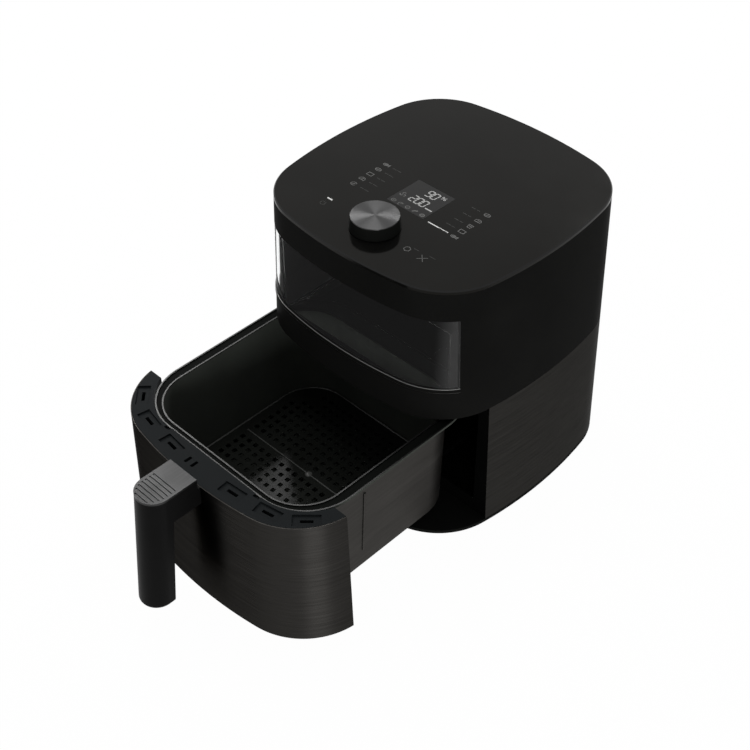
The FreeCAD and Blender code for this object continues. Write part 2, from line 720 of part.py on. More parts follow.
def fan_wheel(radius, blades, blade_low, blade_high, disc_low, low, high):
    """Flat disc with upright blades about a bored hub."""
    disc = post(0.0, FAN_Y, disc_low, disc_low + SHEET, radius)
    hub = post(0.0, FAN_Y, low, high, FAN_HUB_RADIUS)
    pieces = [hub]
    for index in range(blades):
        blade = box(FAN_HUB_RADIUS + SHELL_WALL, radius, FAN_Y - SHEET / 2.0, FAN_Y + SHEET / 2.0, blade_low, blade_high)
        blade.rotate(Vector(0.0, FAN_Y, 0.0), Vector(0, 0, 1), index * 360.0 / blades)
        pieces.append(blade)
    bore = post(0.0, FAN_Y, low, high, SHAFT_RADIUS + RUNNING_FIT)
    return joined([disc] + pieces).cut(bore)


def hot_air_fan():
    disc_low = FAN_TOP_Z - SHEET
    return fan_wheel(FAN_RADIUS, FAN_BLADES, FAN_Z, disc_low, disc_low, FAN_Z, FAN_TOP_Z)


def cooling_fan():
    disc_high = COOLING_Z + SHEET
    return fan_wheel(COOLING_FAN_RADIUS, COOLING_BLADES, disc_high, COOLING_TOP_Z, COOLING_Z, COOLING_Z, COOLING_TOP_Z)


# Lower body

def gland_hole():
    return rod_y(0.0, GLAND_Z, 0.0, REACH, GLAND_RADIUS + FIT)


def lower_sleeve():
    sleeve = body_tube(BASE_TOP_Z, SEAM_Z, 0.0, SLEEVE_WALL)
    return sleeve.common(behind(SPLIT_Y)).cut(gland_hole())


def bay_half_width():
    return PAN_HALF_WIDTH + FLANGE_SIDE + BAY_GAP


def lower_frame():
    wall = body_tube(BASE_TOP_Z, SEAM_Z, FRAME_INSET, FRAME_INNER).common(behind(SPLIT_Y))
    facade = body_block(BASE_TOP_Z, SEAM_Z, FRAME_INSET)
    facade = facade.common(box(-REACH, REACH, SPLIT_Y, SPLIT_Y + FRAME_WALL, BASE_TOP_Z, SEAM_Z))
    half = bay_half_width()
    mouth = box(-half, half, -REACH, 0.0, FACADE_SILL_Z, SEAM_Z)
    return joined([wall, facade.cut(mouth)]).cut(gland_hole())


def foot_places():
    return [(x * FOOT_X, y * FOOT_Y) for x in (-1, 1) for y in (-1, 1)]


def base_post_places():
    return [(x * FOOT_X, y * FOOT_Y / 2.0) for x in (-1, 1) for y in (-1, 1)]


def power_board_places():
    x = POWER_BOARD_HALF_WIDTH - BOARD_POST_MARGIN
    front = POWER_BOARD_FRONT_Y + BOARD_POST_MARGIN
    back = POWER_BOARD_BACK_Y - BOARD_POST_MARGIN
    return [(side * x, y) for side in (-1, 1) for y in (front, back)]


def base_tray():
    plate = body_block(BASE_Z, BASE_TOP_Z, 0.0)
    posts = [post(x, y, BASE_TOP_Z, BAY_FLOOR_Z, BASE_POST_RADIUS) for x, y in base_post_places()]
    lift = BASE_TOP_Z + POWER_BOARD_LIFT
    posts += [post(x, y, BASE_TOP_Z, lift, BOARD_POST_RADIUS) for x, y in power_board_places()]
    tray = joined([plate] + posts)
    cuts = [post(x, y, BASE_Z, BASE_TOP_Z, FOOT_STEM_RADIUS + FIT) for x, y in foot_places()]
    first = -BASE_SLOT_PITCH * (BASE_SLOTS - 1) / 2.0
    for index in range(BASE_SLOTS):
        y = first + index * BASE_SLOT_PITCH - FOOT_Y / 2.0
        cuts.append(box(-BASE_SLOT_LENGTH / 2.0, BASE_SLOT_LENGTH / 2.0, y, y + BASE_SLOT_WIDTH, BASE_Z, BASE_TOP_Z))
    return tray.cut(Part.makeCompound(cuts))


def rubber_feet():
    feet = []
    for x, y in foot_places():
        pad = post(x, y, 0.0, BASE_Z, FOOT_RADIUS)
        feet.append(joined([pad, post(x, y, BASE_Z, BASE_TOP_Z, FOOT_STEM_RADIUS)]))
    return Part.makeCompound(feet)


def power_board():
    low = BASE_TOP_Z + POWER_BOARD_LIFT
    return box(-POWER_BOARD_HALF_WIDTH, POWER_BOARD_HALF_WIDTH, POWER_BOARD_FRONT_Y, POWER_BOARD_BACK_Y,
               low, low + BOARD_THICKNESS)


def bay_floor():
    """Floor of the drawer bay, with two runners that carry the pan out past the facade."""
    inside = SPLIT_Y + FRAME_WALL + FIT
    floor = body_block(BAY_FLOOR_Z, BAY_FLOOR_Z + SHEET, FRAME_INNER + FIT)
    pieces = [floor.common(behind(inside))]
    top = PAN_BOTTOM_Z - SLIDE_GAP
    front = PAN_REAR_Y + PAN_WALL - OPEN_TRAVEL - RUNNER_HOLD
    for side in (-1, 1):
        low = side * RUNNER_X - RUNNER_WIDTH / 2.0
        high = side * RUNNER_X + RUNNER_WIDTH / 2.0
        pieces.append(box(low, high, inside, RAIL_REAR_Y, BAY_FLOOR_Z, top))
        pieces.append(box(low, high, front, inside, FACADE_SILL_Z + FIT, top))
    return joined(pieces)


def drawer_rails():
    top = FLANGE_Z - SLIDE_GAP
    inside = body_block(top - RAIL_HEIGHT, top, FRAME_INNER + FIT)
    inner = PAN_HALF_WIDTH + PAN_WALL + BAY_GAP
    front = SPLIT_Y + FRAME_WALL + FIT
    rails = []
    for low, high in ((-REACH, -inner), (inner, REACH)):
        rails.append(inside.common(box(low, high, front, RAIL_REAR_Y, top - RAIL_HEIGHT, top)))
    return Part.makeCompound([rail.Solids[0] for rail in rails])


def cord_gland():
    wall = GLAND_WALL_Y + FIT
    neck = rod_y(0.0, GLAND_Z, wall - 2.0 * FRAME_INNER, wall, GLAND_RADIUS)
    flange = rod_y(0.0, GLAND_Z, wall, GLAND_END_Y, GLAND_FLANGE_RADIUS)
    bore = rod_y(0.0, GLAND_Z, 0.0, REACH, GLAND_BORE_RADIUS)
    return joined([neck, flange]).cut(bore)


# Drawer, drawn closed

def pan_block(grow, z0, z1):
    """Tapered block of the pan's cavity between two heights."""
    wires = []
    for z in (z0, z1):
        share = (PAN_RIM_Z - z) / (PAN_RIM_Z - PAN_FLOOR_Z)
        half = PAN_HALF_WIDTH - PAN_DRAFT * share + grow
        wires.append(rounded_wire(half, PAN_FRONT_Y - grow, PAN_REAR_Y + grow, PAN_CORNER_RADIUS + grow, z))
    return Part.makeLoft(wires, True, True)


def flange_block(grow, z0, z1):
    half = PAN_HALF_WIDTH + FLANGE_SIDE + grow
    front = PAN_FRONT_Y - FLANGE_FRONT - grow
    rear = PAN_REAR_Y + FLANGE_REAR + grow
    return rounded_block(half, front, rear, PAN_CORNER_RADIUS + FLANGE_SIDE + grow, z0, z1)


def pan_screw_z():
    return PAN_RIM_Z - PAN_BRACKET_HEIGHT


def pan_screw_holes():
    holes = []
    for side in (-1, 1):
        holes.append(rod_y(side * PAN_SCREW_X, pan_screw_z(), CORE_BACK_Y, PAN_FRONT_Y, SCREW_RADIUS + FIT / 2.0))
    return Part.makeCompound(holes)


def pan():
    cavity = pan_block(0.0, PAN_FLOOR_Z, PAN_RIM_Z)
    tub = pan_block(PAN_WALL, PAN_BOTTOM_Z, PAN_RIM_Z)
    flange = flange_block(0.0, FLANGE_Z, PAN_RIM_Z)
    edge = flange_block(0.0, PAN_RIM_Z, PAN_RIM_Z + PAN_BEAD)
    edge = edge.cut(flange_block(-PAN_WALL, PAN_RIM_Z, PAN_RIM_Z + PAN_BEAD))
    lip_low = pan_lip(PAN_WALL)
    lip = lip_low.cut(pan_lip(0.0))
    ribs = []
    low = PAN_BOTTOM_Z + PAN_RIB_MARGIN
    high = FLANGE_Z - PAN_RIB_MARGIN
    for side in (-1, 1):
        start = Vector(side * pan_wall_x(low), PAN_RIB_Y, low)
        end = Vector(side * pan_wall_x(high), PAN_RIB_Y, high)
        run = end.sub(start)
        ribs.append(Part.makeCylinder(PAN_RIB_RADIUS, run.Length, start, run))
    whole = joined([tub, flange, edge, lip] + ribs)
    return whole.cut(cavity).cut(pan_screw_holes())


def pan_lip(grow):
    return rounded_block(PAN_HALF_WIDTH + grow, PAN_FRONT_Y - grow, PAN_REAR_Y + grow, PAN_CORNER_RADIUS + grow,
                         PAN_RIM_Z, PAN_RIM_Z + PAN_BEAD)


def pan_wall_x(z):
    """Half width of the pan over its outer wall at a height."""
    share = (PAN_RIM_Z - z) / (PAN_RIM_Z - PAN_FLOOR_Z)
    return PAN_HALF_WIDTH - PAN_DRAFT * share + PAN_WALL


def front_cut(grow, z0, z1):
    """Room for the pan and its flange behind the drawer front."""
    return rounded_block(CUT_HALF_WIDTH + grow, CUT_FRONT_Y - grow, REACH, CUT_CORNER + grow, z0, z1)


def handle_screw_places():
    z = (NECK_Z + RIM_Z) / 2.0
    return [(-HANDLE_SCREW_X, z), (HANDLE_SCREW_X, z)]


def handle_screw_holes():
    holes = []
    for x, z in handle_screw_places():
        holes.append(rod_y(x, z, HANDLE_ROUND_Y, CORE_BACK_Y - CORE_WALL, SCREW_RADIUS + FIT / 2.0))
    return Part.makeCompound(holes)


def drawer_front_skin():
    skin = body_tube(FRONT_BOTTOM_Z, FRONT_TOP_Z, 0.0, SKIN_WALL)
    return skin.common(in_front_of(WING_Y)).cut(handle_screw_holes())


def drawer_front_core():
    inset = SKIN_WALL + FIT
    core = body_block(FRONT_BOTTOM_Z, RIM_Z, inset).common(in_front_of(WING_Y))
    core = core.cut(front_cut(0.0, FRONT_BOTTOM_Z, RIM_Z))
    hollow = body_block(FRONT_BOTTOM_Z + CORE_WALL, RIM_Z, inset + CORE_WALL)
    hollow = hollow.common(in_front_of(WING_Y - CORE_WALL))
    hollow = hollow.cut(front_cut(CORE_WALL, FRONT_BOTTOM_Z, RIM_Z))
    return core.cut(hollow).cut(pan_screw_holes()).cut(handle_screw_holes())


def rim_slot_frames():
    """Places and turns of the rim's pockets: middle point and angle about Z."""
    places = []
    middle = (CUT_FRONT_Y - TOP_HALF_DEPTH - flare_at(RIM_Z)) / 2.0
    for x in POCKET_X:
        bow = FRONT_BOW_RADIUS - math.sqrt(FRONT_BOW_RADIUS ** 2 - x ** 2)
        places.append((x, middle + bow, math.degrees(math.asin(x / FRONT_BOW_RADIUS))))
    corner = Vector(CUT_HALF_WIDTH - CUT_CORNER, CUT_FRONT_Y + CUT_CORNER, 0.0)
    for angle in CORNER_SLOT_ANGLES:
        turn = math.radians(angle)
        outer = rim_outer_distance(corner, turn)
        radius = (CUT_CORNER + outer) / 2.0
        places.append((corner.x + radius * math.sin(turn), corner.y - radius * math.cos(turn), angle))
    return places


def rim_outer_distance(start, turn):
    """Distance from a point to the corner arc of the outline, along a turn from the front."""
    way = Vector(math.sin(turn), -math.cos(turn), 0.0)
    centre = Vector(CORNER.x, -CORNER.y, 0.0)
    offset = centre.sub(start)
    along = offset.dot(way)
    aside = offset.Length ** 2 - along ** 2
    return along + math.sqrt((CORNER_RADIUS + flare_at(FRONT_TOP_Z)) ** 2 - aside)


def rim_cuts(length, width, z0, z1):
    cuts = []
    for x, y, angle in rim_slot_frames():
        for side in (-1, 1):
            cut = box(-length / 2.0, length / 2.0, -width / 2.0, width / 2.0, z0, z1)
            cut.rotate(Vector(0, 0, 0), Vector(0, 0, 1), side * angle)
            cut.translate(Vector(side * x, y, 0.0))
            cuts.append(cut)
    return cuts


def drawer_rim():
    inset = SKIN_WALL + FIT
    rim = body_block(RIM_Z, FRONT_TOP_Z, inset).common(in_front_of(WING_Y))
    rim = rim.cut(front_cut(0.0, RIM_Z, FRONT_TOP_Z))
    cuts = rim_cuts(POCKET_LENGTH, POCKET_WIDTH, FRONT_TOP_Z - POCKET_DEPTH, FRONT_TOP_Z)
    cuts += rim_cuts(SLOT_LENGTH, SLOT_WIDTH, RIM_Z, FRONT_TOP_Z)
    middle = (CUT_FRONT_Y - TOP_HALF_DEPTH - flare_at(RIM_Z)) / 2.0
    for x in CENTRE_SLOT_X:
        cuts.append(box(x - SLOT_WIDTH / 2.0, x + SLOT_WIDTH / 2.0, middle - CENTRE_SLOT_LENGTH / 2.0,
                        middle + CENTRE_SLOT_LENGTH / 2.0, RIM_Z, FRONT_TOP_Z))
    for side in (-1, 1):
        x = side * RIM_NOTCH_X
        cuts.append(box(x - RIM_NOTCH_WIDTH / 2.0, x + RIM_NOTCH_WIDTH / 2.0, CUT_FRONT_Y - RIM_NOTCH_DEPTH,
                        CUT_FRONT_Y + RIM_NOTCH_DEPTH, FRONT_TOP_Z - 2.0 * POCKET_DEPTH, FRONT_TOP_Z))
    return rim.cut(Part.makeCompound(cuts))


def pan_bracket():
    low = pan_screw_z() - PAN_BRACKET_HEIGHT / 2.0
    plate = box(-PAN_BRACKET_HALF_WIDTH, PAN_BRACKET_HALF_WIDTH, CUT_FRONT_Y, PAN_FRONT_Y - PAN_WALL,
                low, low + PAN_BRACKET_HEIGHT)
    return plate.cut(pan_screw_holes())


def pan_screws():
    screws = []
    for side in (-1, 1):
        x = side * PAN_SCREW_X
        head = rod_y(x, pan_screw_z(), CORE_BACK_Y - SCREW_HEAD_HEIGHT, CORE_BACK_Y, SCREW_HEAD_RADIUS)
        screws.append(joined([head, rod_y(x, pan_screw_z(), CORE_BACK_Y, PAN_FRONT_Y - FIT, SCREW_RADIUS)]))
    return Part.makeCompound(screws)


def handle_profile(z, back_y, shift):
    """Round-fronted plan of the handle, flat at the back."""
    half = HANDLE_HALF_WIDTH
    centre = HANDLE_ROUND_Y + shift
    right = Vector(half, back_y + shift, z)
    left = Vector(-half, back_y + shift, z)
    right_front = Vector(half, centre, z)
    left_front = Vector(-half, centre, z)
    nose = Vector(0.0, centre - half, z)
    edges = [
        Part.LineSegment(left, right).toShape(),
        Part.LineSegment(right, right_front).toShape(),
        Part.Arc(right_front, nose, left_front).toShape(),
        Part.LineSegment(left_front, left).toShape(),
    ]
    return Part.Wire(edges)


def handle_grip():
    grip_back = HANDLE_FRONT_Y + GRIP_DEPTH
    top = handle_profile(CAP_Z, grip_back, 0.0)
    bottom = handle_profile(HANDLE_BOTTOM_Z, grip_back, -HANDLE_LEAN)
    grip = Part.makeLoft([bottom, top], True, True)
    low_edges = [edge for edge in grip.Edges if edge.BoundBox.ZMax < HANDLE_BOTTOM_Z + FIT]
    grip = grip.makeFillet(GRIP_FILLET, low_edges)
    half = HANDLE_HALF_WIDTH
    neck = box(-half, half, HANDLE_ROUND_Y, HANDLE_BACK_Y, NECK_Z, CAP_Z)
    root = box(-half, half, HANDLE_BACK_Y, CORE_BACK_Y, NECK_Z, FRONT_TOP_Z)
    root = root.cut(body_block(FRONT_BOTTOM_Z, SEAM_Z, -FIT))
    return joined([grip, neck, root]).cut(handle_screw_holes())


def handle_cap():
    plate = Part.Face(handle_profile(CAP_Z, HANDLE_BACK_Y, 0.0)).extrude(Vector(0, 0, CAP_THICKNESS))
    cuts = []
    for index in range(CAP_GROOVES):
        y = HANDLE_FRONT_Y + CAP_GROOVE_PITCH * (index + 0.75)
        inside = max(0.0, HANDLE_ROUND_Y - y - CAP_GROOVE_WIDTH / 2.0)
        half = math.sqrt(HANDLE_HALF_WIDTH ** 2 - inside ** 2) - CAP_GROOVE_MARGIN
        cuts.append(box(-half, half, y - CAP_GROOVE_WIDTH / 2.0, y + CAP_GROOVE_WIDTH / 2.0,
                        HANDLE_TOP_Z - CAP_GROOVE_DEPTH, HANDLE_TOP_Z))
    return plate.cut(Part.makeCompound(cuts))


def handle_screws():
    screws = []
    for x, z in handle_screw_places():
        bow = FRONT_BOW_RADIUS - math.sqrt(FRONT_BOW_RADIUS ** 2 - x ** 2)
        wall = -TOP_HALF_DEPTH - flare_at(z + SCREW_HEAD_RADIUS) + bow + SKIN_WALL + 2.0 * FIT + CORE_WALL
        head = rod_y(x, z, wall, wall + SCREW_HEAD_HEIGHT, SCREW_HEAD_RADIUS)
        screws.append(joined([head, rod_y(x, z, HANDLE_ROUND_Y + FIT, wall, SCREW_RADIUS)]))
    return Part.makeCompound(screws)


# Crisper plate

def plate_half_width():
    share = (PAN_RIM_Z - PLATE_Z) / (PAN_RIM_Z - PAN_FLOOR_Z)
    return PAN_HALF_WIDTH - PAN_DRAFT * share - PLATE_GAP


def leg_places():
    x = plate_half_width() - LEG_MARGIN
    half_depth = (PAN_REAR_Y - PAN_FRONT_Y) / 2.0 - LEG_MARGIN
    return [(sx * x, PAN_CENTRE_Y + sy * half_depth) for sx in (-1, 1) for sy in (-1, 1)]


def hole_rows(half_span):
    count = int((half_span - HOLE_PITCH) / HOLE_PITCH)
    return [index * HOLE_PITCH for index in range(-count, count + 1)]


def square_wire(x, y, size, z):
    half = size / 2.0
    corners = [Vector(x + sx * half, y + sy * half, z) for sx, sy in ((-1, -1), (1, -1), (1, 1), (-1, 1))]
    return Part.makePolygon(corners + corners[:1])


def crisper_plate():
    half_width = plate_half_width()
    front = PAN_FRONT_Y + PLATE_GAP
    rear = PAN_REAR_Y - PLATE_GAP
    corner = PAN_CORNER_RADIUS - PLATE_GAP
    wires = [rounded_wire(half_width, front, rear, corner, PLATE_Z)]
    inner_x = half_width - corner
    inner_y = (rear - front) / 2.0 - corner
    for x in hole_rows(half_width):
        for offset in hole_rows((rear - front) / 2.0):
            past = math.hypot(max(0.0, abs(x) - inner_x), max(0.0, abs(offset) - inner_y))
            by_leg = [1 for lx, ly in leg_places()
                      if math.hypot(lx - x, ly - PAN_CENTRE_Y - offset) < LEG_RADIUS + HOLE_SIZE]
            if past < corner - HOLE_SIZE and not by_leg:
                wires.append(square_wire(x, PAN_CENTRE_Y + offset, HOLE_SIZE, PLATE_Z))
    sheet = Part.Face(wires, "Part::FaceMakerBullseye").extrude(Vector(0, 0, PLATE_THICKNESS))
    foot = PAN_FLOOR_Z + SLIDE_GAP + SHEET
    legs = [post(x, y, foot, PLATE_Z, LEG_RADIUS) for x, y in leg_places()]
    return joined([sheet] + legs)


def plate_bumpers():
    cups = []
    foot = PAN_FLOOR_Z + SLIDE_GAP
    for x, y in leg_places():
        cup = post(x, y, foot, foot + BUMPER_HEIGHT, BUMPER_RADIUS)
        cups.append(cup.cut(post(x, y, foot + SHEET, foot + BUMPER_HEIGHT, LEG_RADIUS + RUNNING_FIT)))
    return Part.makeCompound(cups)


BODY_PIECES = (
    upper_shell, window_sill, window_glass, rear_grille, top_panel, display_lens, display_module,
    control_board, board_screws, rotary_encoder, encoder_shaft, knob_body, knob_cap, chamber_deck,
    chamber_liner, inner_pane, exhaust_duct, heater_coil, heater_insulators, heater_clips,
    temperature_probe, chamber_lamp, lamp_lens, motor_bracket, motor, motor_bearings, motor_shaft,
    hot_air_fan, cooling_fan, lower_sleeve, lower_frame, base_tray, rubber_feet, power_board,
    bay_floor, drawer_rails, cord_gland,
)

DRAWER_PIECES = (
    pan, drawer_front_skin, drawer_front_core, drawer_rim, pan_bracket, pan_screws, handle_grip,
    handle_cap, handle_screws, crisper_plate, plate_bumpers,
)


def save(piece, pull):
    shape = piece()
    shape.translate(Vector(0.0, ORIGIN_SHIFT - pull, 0.0))
    shape.exportStep("parts/" + piece.__name__ + ".step")


os.makedirs("parts", exist_ok=True)
for body_piece in BODY_PIECES:
    save(body_piece, 0.0)
for drawer_piece in DRAWER_PIECES:
    save(drawer_piece, OPEN_TRAVEL)
print("origin shift along Y", round(ORIGIN_SHIFT, 3), "mm")
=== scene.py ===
import math
from functools import partial

import bmesh
import bpy
from mathutils import Matrix, Vector


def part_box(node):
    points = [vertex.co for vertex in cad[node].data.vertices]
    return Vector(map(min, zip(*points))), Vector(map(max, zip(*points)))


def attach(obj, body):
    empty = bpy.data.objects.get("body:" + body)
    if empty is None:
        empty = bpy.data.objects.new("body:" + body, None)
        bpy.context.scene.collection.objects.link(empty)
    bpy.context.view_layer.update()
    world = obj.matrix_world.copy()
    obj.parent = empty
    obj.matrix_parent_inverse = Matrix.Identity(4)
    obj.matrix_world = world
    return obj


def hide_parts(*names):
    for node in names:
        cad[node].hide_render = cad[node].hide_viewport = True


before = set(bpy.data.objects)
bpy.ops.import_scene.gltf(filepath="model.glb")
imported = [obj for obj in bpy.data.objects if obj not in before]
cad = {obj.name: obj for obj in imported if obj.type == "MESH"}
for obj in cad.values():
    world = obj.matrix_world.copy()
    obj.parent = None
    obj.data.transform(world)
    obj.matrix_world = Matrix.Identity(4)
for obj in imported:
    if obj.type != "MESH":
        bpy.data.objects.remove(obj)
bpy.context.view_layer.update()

# Lengths are in metres, lamps in watts, and turns of the camera and the lamps in degrees
MM = 0.001
TOP_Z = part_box("top_panel")[1].z
PANE_SIDE_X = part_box("window_glass")[1].x

# Camera fitted to the photograph
CAMERA_AZIMUTH = 44.834
CAMERA_ELEVATION = 42.22
CAMERA_ROLL = -0.417
CAMERA_TARGET = Vector((-0.00866, 0.03927, 0.11504))
CAMERA_DISTANCE = 1.367
FOCAL_PIXELS = 1322.8
PICTURE_PIXELS = 750.0
SENSOR_MM = 36.0

# Studio
AMBIENT = 0.3
WHITE = (1.0, 1.0, 1.0, 1.0)
FLOOR_REACH = 12.0
FLOOR_TONE = (0.9, 0.9, 0.9, 1.0)
FLOOR_WHITE_SHARE = 0.985
LAMP_AIM = Vector((0.0, 0.04, 0.14))
# Name, azimuth, elevation, distance, width, height, watts
LAMPS = (
    ("top_softbox", 250.0, 80.0, 2.1, 1.2, 1.2, 18.0),
    ("front_softbox", 56.0, 5.0, 2.2, 0.85, 0.42, 15.0),
    ("back_left_softbox", 252.0, 36.0, 2.3, 0.35, 0.8, 14.0),
    ("back_right_softbox", 198.0, 36.0, 2.3, 0.35, 0.8, 14.0),
    ("plate_softbox", 234.0, 47.5, 2.3, 0.16, 0.16, 0.45),
)

# The pane's bent ends, where its painted glow grows into a painted reflection
PAINTED_SHINE_START_X = PANE_SIDE_X - 0.0187
PAINTED_SHINE_END_X = PANE_SIDE_X - 0.0062

# Copies of CAD nodes
MERGE_DISTANCE = 2e-6
FLAT_ANGLE = math.radians(0.4)
SHARP_ANGLE = math.radians(25.0)

# Where the finishes change on painted copies, measured down from their tops
TOP_BEVEL = 0.003
PAN_LIP = 0.0007
PAN_FLANGE = 0.0027
PAN_WALL = 0.0037

# Heights of unit normals: a level face passes the first, and a rounded edge lies between a pair
LEVEL_NORMAL = 0.6
TOP_BEVEL_NORMALS = (0.25, 0.95)
LEDGE_EDGE_NORMALS = (0.2, 0.93)

# Perforated plate
PLATE_SHEET = 0.0015
PLATE_CORNER = 0.042
PLATE_BORDER = 0.0105
HOLE_PITCH = 0.01
HOLE_SIZE = 0.005
LEG_INSET_X = 0.03
LEG_INSET_Y = 0.027
PLATE_EDGE_LIFT = 0.0004  # what rises more than this above the sheet is lighter, a painted highlight
PLATE_SMOOTH_ANGLE = math.radians(35.0)
KNIT_DISTANCE = 0.00002

# Shares of the hole's size
HOLE_ROUNDING = 0.18
BORDER_CLEARANCE = 0.6
LEG_CLEARANCE = 1.6
LEG_RADIUS = 0.6
DOME_RADIUS = 0.8

# Shares of the pitch, of the sheet's thickness and of the dome's radius
CREASE_CLEARANCE = 0.5
CREASE_RADIUS = 0.6
BEAD_RADIUS = 0.85
BEAD_DROP = 0.3
DOME_HEIGHT = 0.4

# Prints on the top: the film's half thickness, and the gap round the display's lens
PRINT_LIFT = 0.00006
LENS_GAP = 0.0002

# Figures on the display in millimetres, with shares of their height and of their line
FIGURE_WIDTH = 5.2
FIGURE_HEIGHT = 10.0
FIGURE_LINE = 1.15
FIGURE_SLANT = 0.12
FIGURE_GAP = 0.35

# The two columns of touch icons in millimetres from the top's middle
LEFT_X = -64.5
RIGHT_X = 63.0


# Helpers for places, objects and nodes


def middle_of(node):
    low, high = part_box(node)
    return (low + high) / 2.0


def linked(name, data):
    """New object in the scene."""
    made = bpy.data.objects.new(name, data)
    bpy.context.scene.collection.objects.link(made)
    return made


def fill(tree, socket, value):
    """Sets a socket to a plain value, or links it."""
    if isinstance(value, bpy.types.NodeSocket):
        tree.links.new(value, socket)
    else:
        socket.default_value = value


def add_node(tree, kind, inputs=(), **settings):
    node = tree.nodes.new(kind)
    for key, value in settings.items():
        setattr(node, key, value)
    for key, value in dict(inputs).items():
        fill(tree, node.inputs[key], value)
    return node


def add_math(tree, operation, first, second=0.0):
    return add_node(tree, "ShaderNodeMath", {0: first, 1: second}, operation=operation).outputs[0]


def add_vector_math(tree, operation, first, second=(0.0, 0.0, 0.0)):
    return add_node(tree, "ShaderNodeVectorMath", {0: first, 1: second}, operation=operation).outputs


def add_noise(tree, vector, scale, detail, roughness=0.5):
    values = {"Vector": vector, "Scale": scale, "Detail": detail, "Roughness": roughness}
    return add_node(tree, "ShaderNodeTexNoise", values).outputs[0]


def range_of(tree, value, low, high, start=0.3, end=0.7):
    """Value between start and end, mapped to low and high."""
    values = {"Value": value, "To Min": low, "To Max": high, "From Min": start, "From Max": end}
    return add_node(tree, "ShaderNodeMapRange", values).outputs[0]


def compass(azimuth, elevation):
    """Unit vector to a compass angle, counted from the front towards the right, and a height angle."""
    turn, lift = math.radians(azimuth), math.radians(elevation)
    return Vector((math.sin(turn) * math.cos(lift), -math.cos(turn) * math.cos(lift), math.sin(lift)))


# Camera, background and light


def photo_camera():
    turn, roll = math.radians(CAMERA_AZIMUTH), math.radians(CAMERA_ROLL)
    back = compass(CAMERA_AZIMUTH, CAMERA_ELEVATION)
    right = Vector((math.cos(turn), math.sin(turn), 0.0))
    up = back.cross(right)
    rolled_right = right * math.cos(roll) + up * math.sin(roll)
    rolled_up = up * math.cos(roll) - right * math.sin(roll)
    lens = bpy.data.cameras.new("photo_camera")
    lens.sensor_width = SENSOR_MM
    lens.lens = FOCAL_PIXELS / PICTURE_PIXELS * SENSOR_MM
    lens.clip_start = 0.05
    lens.clip_end = 50.0
    place = Matrix((rolled_right, rolled_up, back)).transposed().to_4x4()
    place.translation = CAMERA_TARGET + back * CAMERA_DISTANCE
    camera = linked("photo_camera", lens)
    camera.matrix_world = place
    bpy.context.scene.camera = camera


def seen_white(tree):
    """Factor that is 1 for rays that look at the background: camera, glossy and transmission rays."""
    path = tree.nodes.new("ShaderNodeLightPath").outputs
    first = add_math(tree, "MAXIMUM", path["Is Camera Ray"], path["Is Glossy Ray"])
    return add_math(tree, "MAXIMUM", first, path["Is Transmission Ray"])


def mixed(tree, share, first, second):
    return add_node(tree, "ShaderNodeMixShader", {0: share, 1: first, 2: second}).outputs[0]


def studio_world():
    world = bpy.data.worlds.new("studio")
    bpy.context.scene.world = world
    world.use_nodes = True
    tree = world.node_tree
    tree.nodes.clear()
    ambient = add_node(tree, "ShaderNodeBackground", {"Color": WHITE, "Strength": AMBIENT})
    white = add_node(tree, "ShaderNodeBackground", {"Color": WHITE, "Strength": 1.0})
    shown = mixed(tree, seen_white(tree), ambient.outputs[0], white.outputs[0])
    add_node(tree, "ShaderNodeOutputWorld", {0: shown})


def studio_floor():
    mesh = bpy.data.meshes.new("studio_floor")
    r = FLOOR_REACH
    mesh.from_pydata([(-r, -r, 0), (r, -r, 0), (r, r, 0), (-r, r, 0)], [], [(0, 1, 2, 3)])
    floor = linked("studio_floor", mesh)
    paint = bpy.data.materials.new("pale_floor")
    paint.use_nodes = True
    tree = paint.node_tree
    tree.nodes.clear()
    matt = add_node(tree, "ShaderNodeBsdfDiffuse", {"Color": FLOOR_TONE})
    glow = add_node(tree, "ShaderNodeEmission", {"Strength": 1.0})
    share = add_math(tree, "MULTIPLY", seen_white(tree), FLOOR_WHITE_SHARE)
    shown = mixed(tree, share, matt.outputs[0], glow.outputs[0])
    add_node(tree, "ShaderNodeOutputMaterial", {0: shown})
    mesh.materials.append(paint)


def softbox(name, azimuth, elevation, distance, width, height, watts):
    """Area lamp that looks at the part and isn't seen through its glass."""
    light = bpy.data.lights.new(name, "AREA")
    light.shape = "RECTANGLE"
    light.size = width
    light.size_y = height
    light.energy = watts
    box = linked(name, light)
    box.visible_transmission = False
    way = compass(azimuth, elevation)
    turn = (-way).to_track_quat("-Z", "Y").to_matrix().to_4x4()
    box.matrix_world = Matrix.Translation(LAMP_AIM + way * distance) @ turn


def studio_lights():
    for lamp in LAMPS:
        softbox(*lamp)


# Shader groups: each puts out only what changes over the surface

TONE_ROUGH_HEIGHT = ("Tone", "Roughness", "Height")
ROUGH_LIMITS = [("Rough Low", "NodeSocketFloat", 0.3), ("Rough High", "NodeSocketFloat", 0.5)]
FINE_SHARE = 0.6  # share of the fine lines in a brushed sheet, beside the broad ones


def new_group(name, inputs):
    """Group with a place as its first input, which puts out a tone, a roughness and a height."""
    group = bpy.data.node_groups.new(name, "ShaderNodeTree")
    group.interface.new_socket("Vector", in_out="INPUT", socket_type="NodeSocketVector")
    for label, kind, value in inputs + ROUGH_LIMITS:
        socket = group.interface.new_socket(label, in_out="INPUT", socket_type=kind)
        socket.default_value = value
    for label in TONE_ROUGH_HEIGHT:
        group.interface.new_socket(label, in_out="OUTPUT", socket_type="NodeSocketFloat")
    return group, group.nodes.new("NodeGroupInput").outputs


def end_group(group, given, tone, gloss, height):
    rough = range_of(group, gloss, given["Rough Low"], given["Rough High"])
    add_node(group, "NodeGroupOutput", dict(zip(TONE_ROUGH_HEIGHT, (tone, rough, height))))
    return group


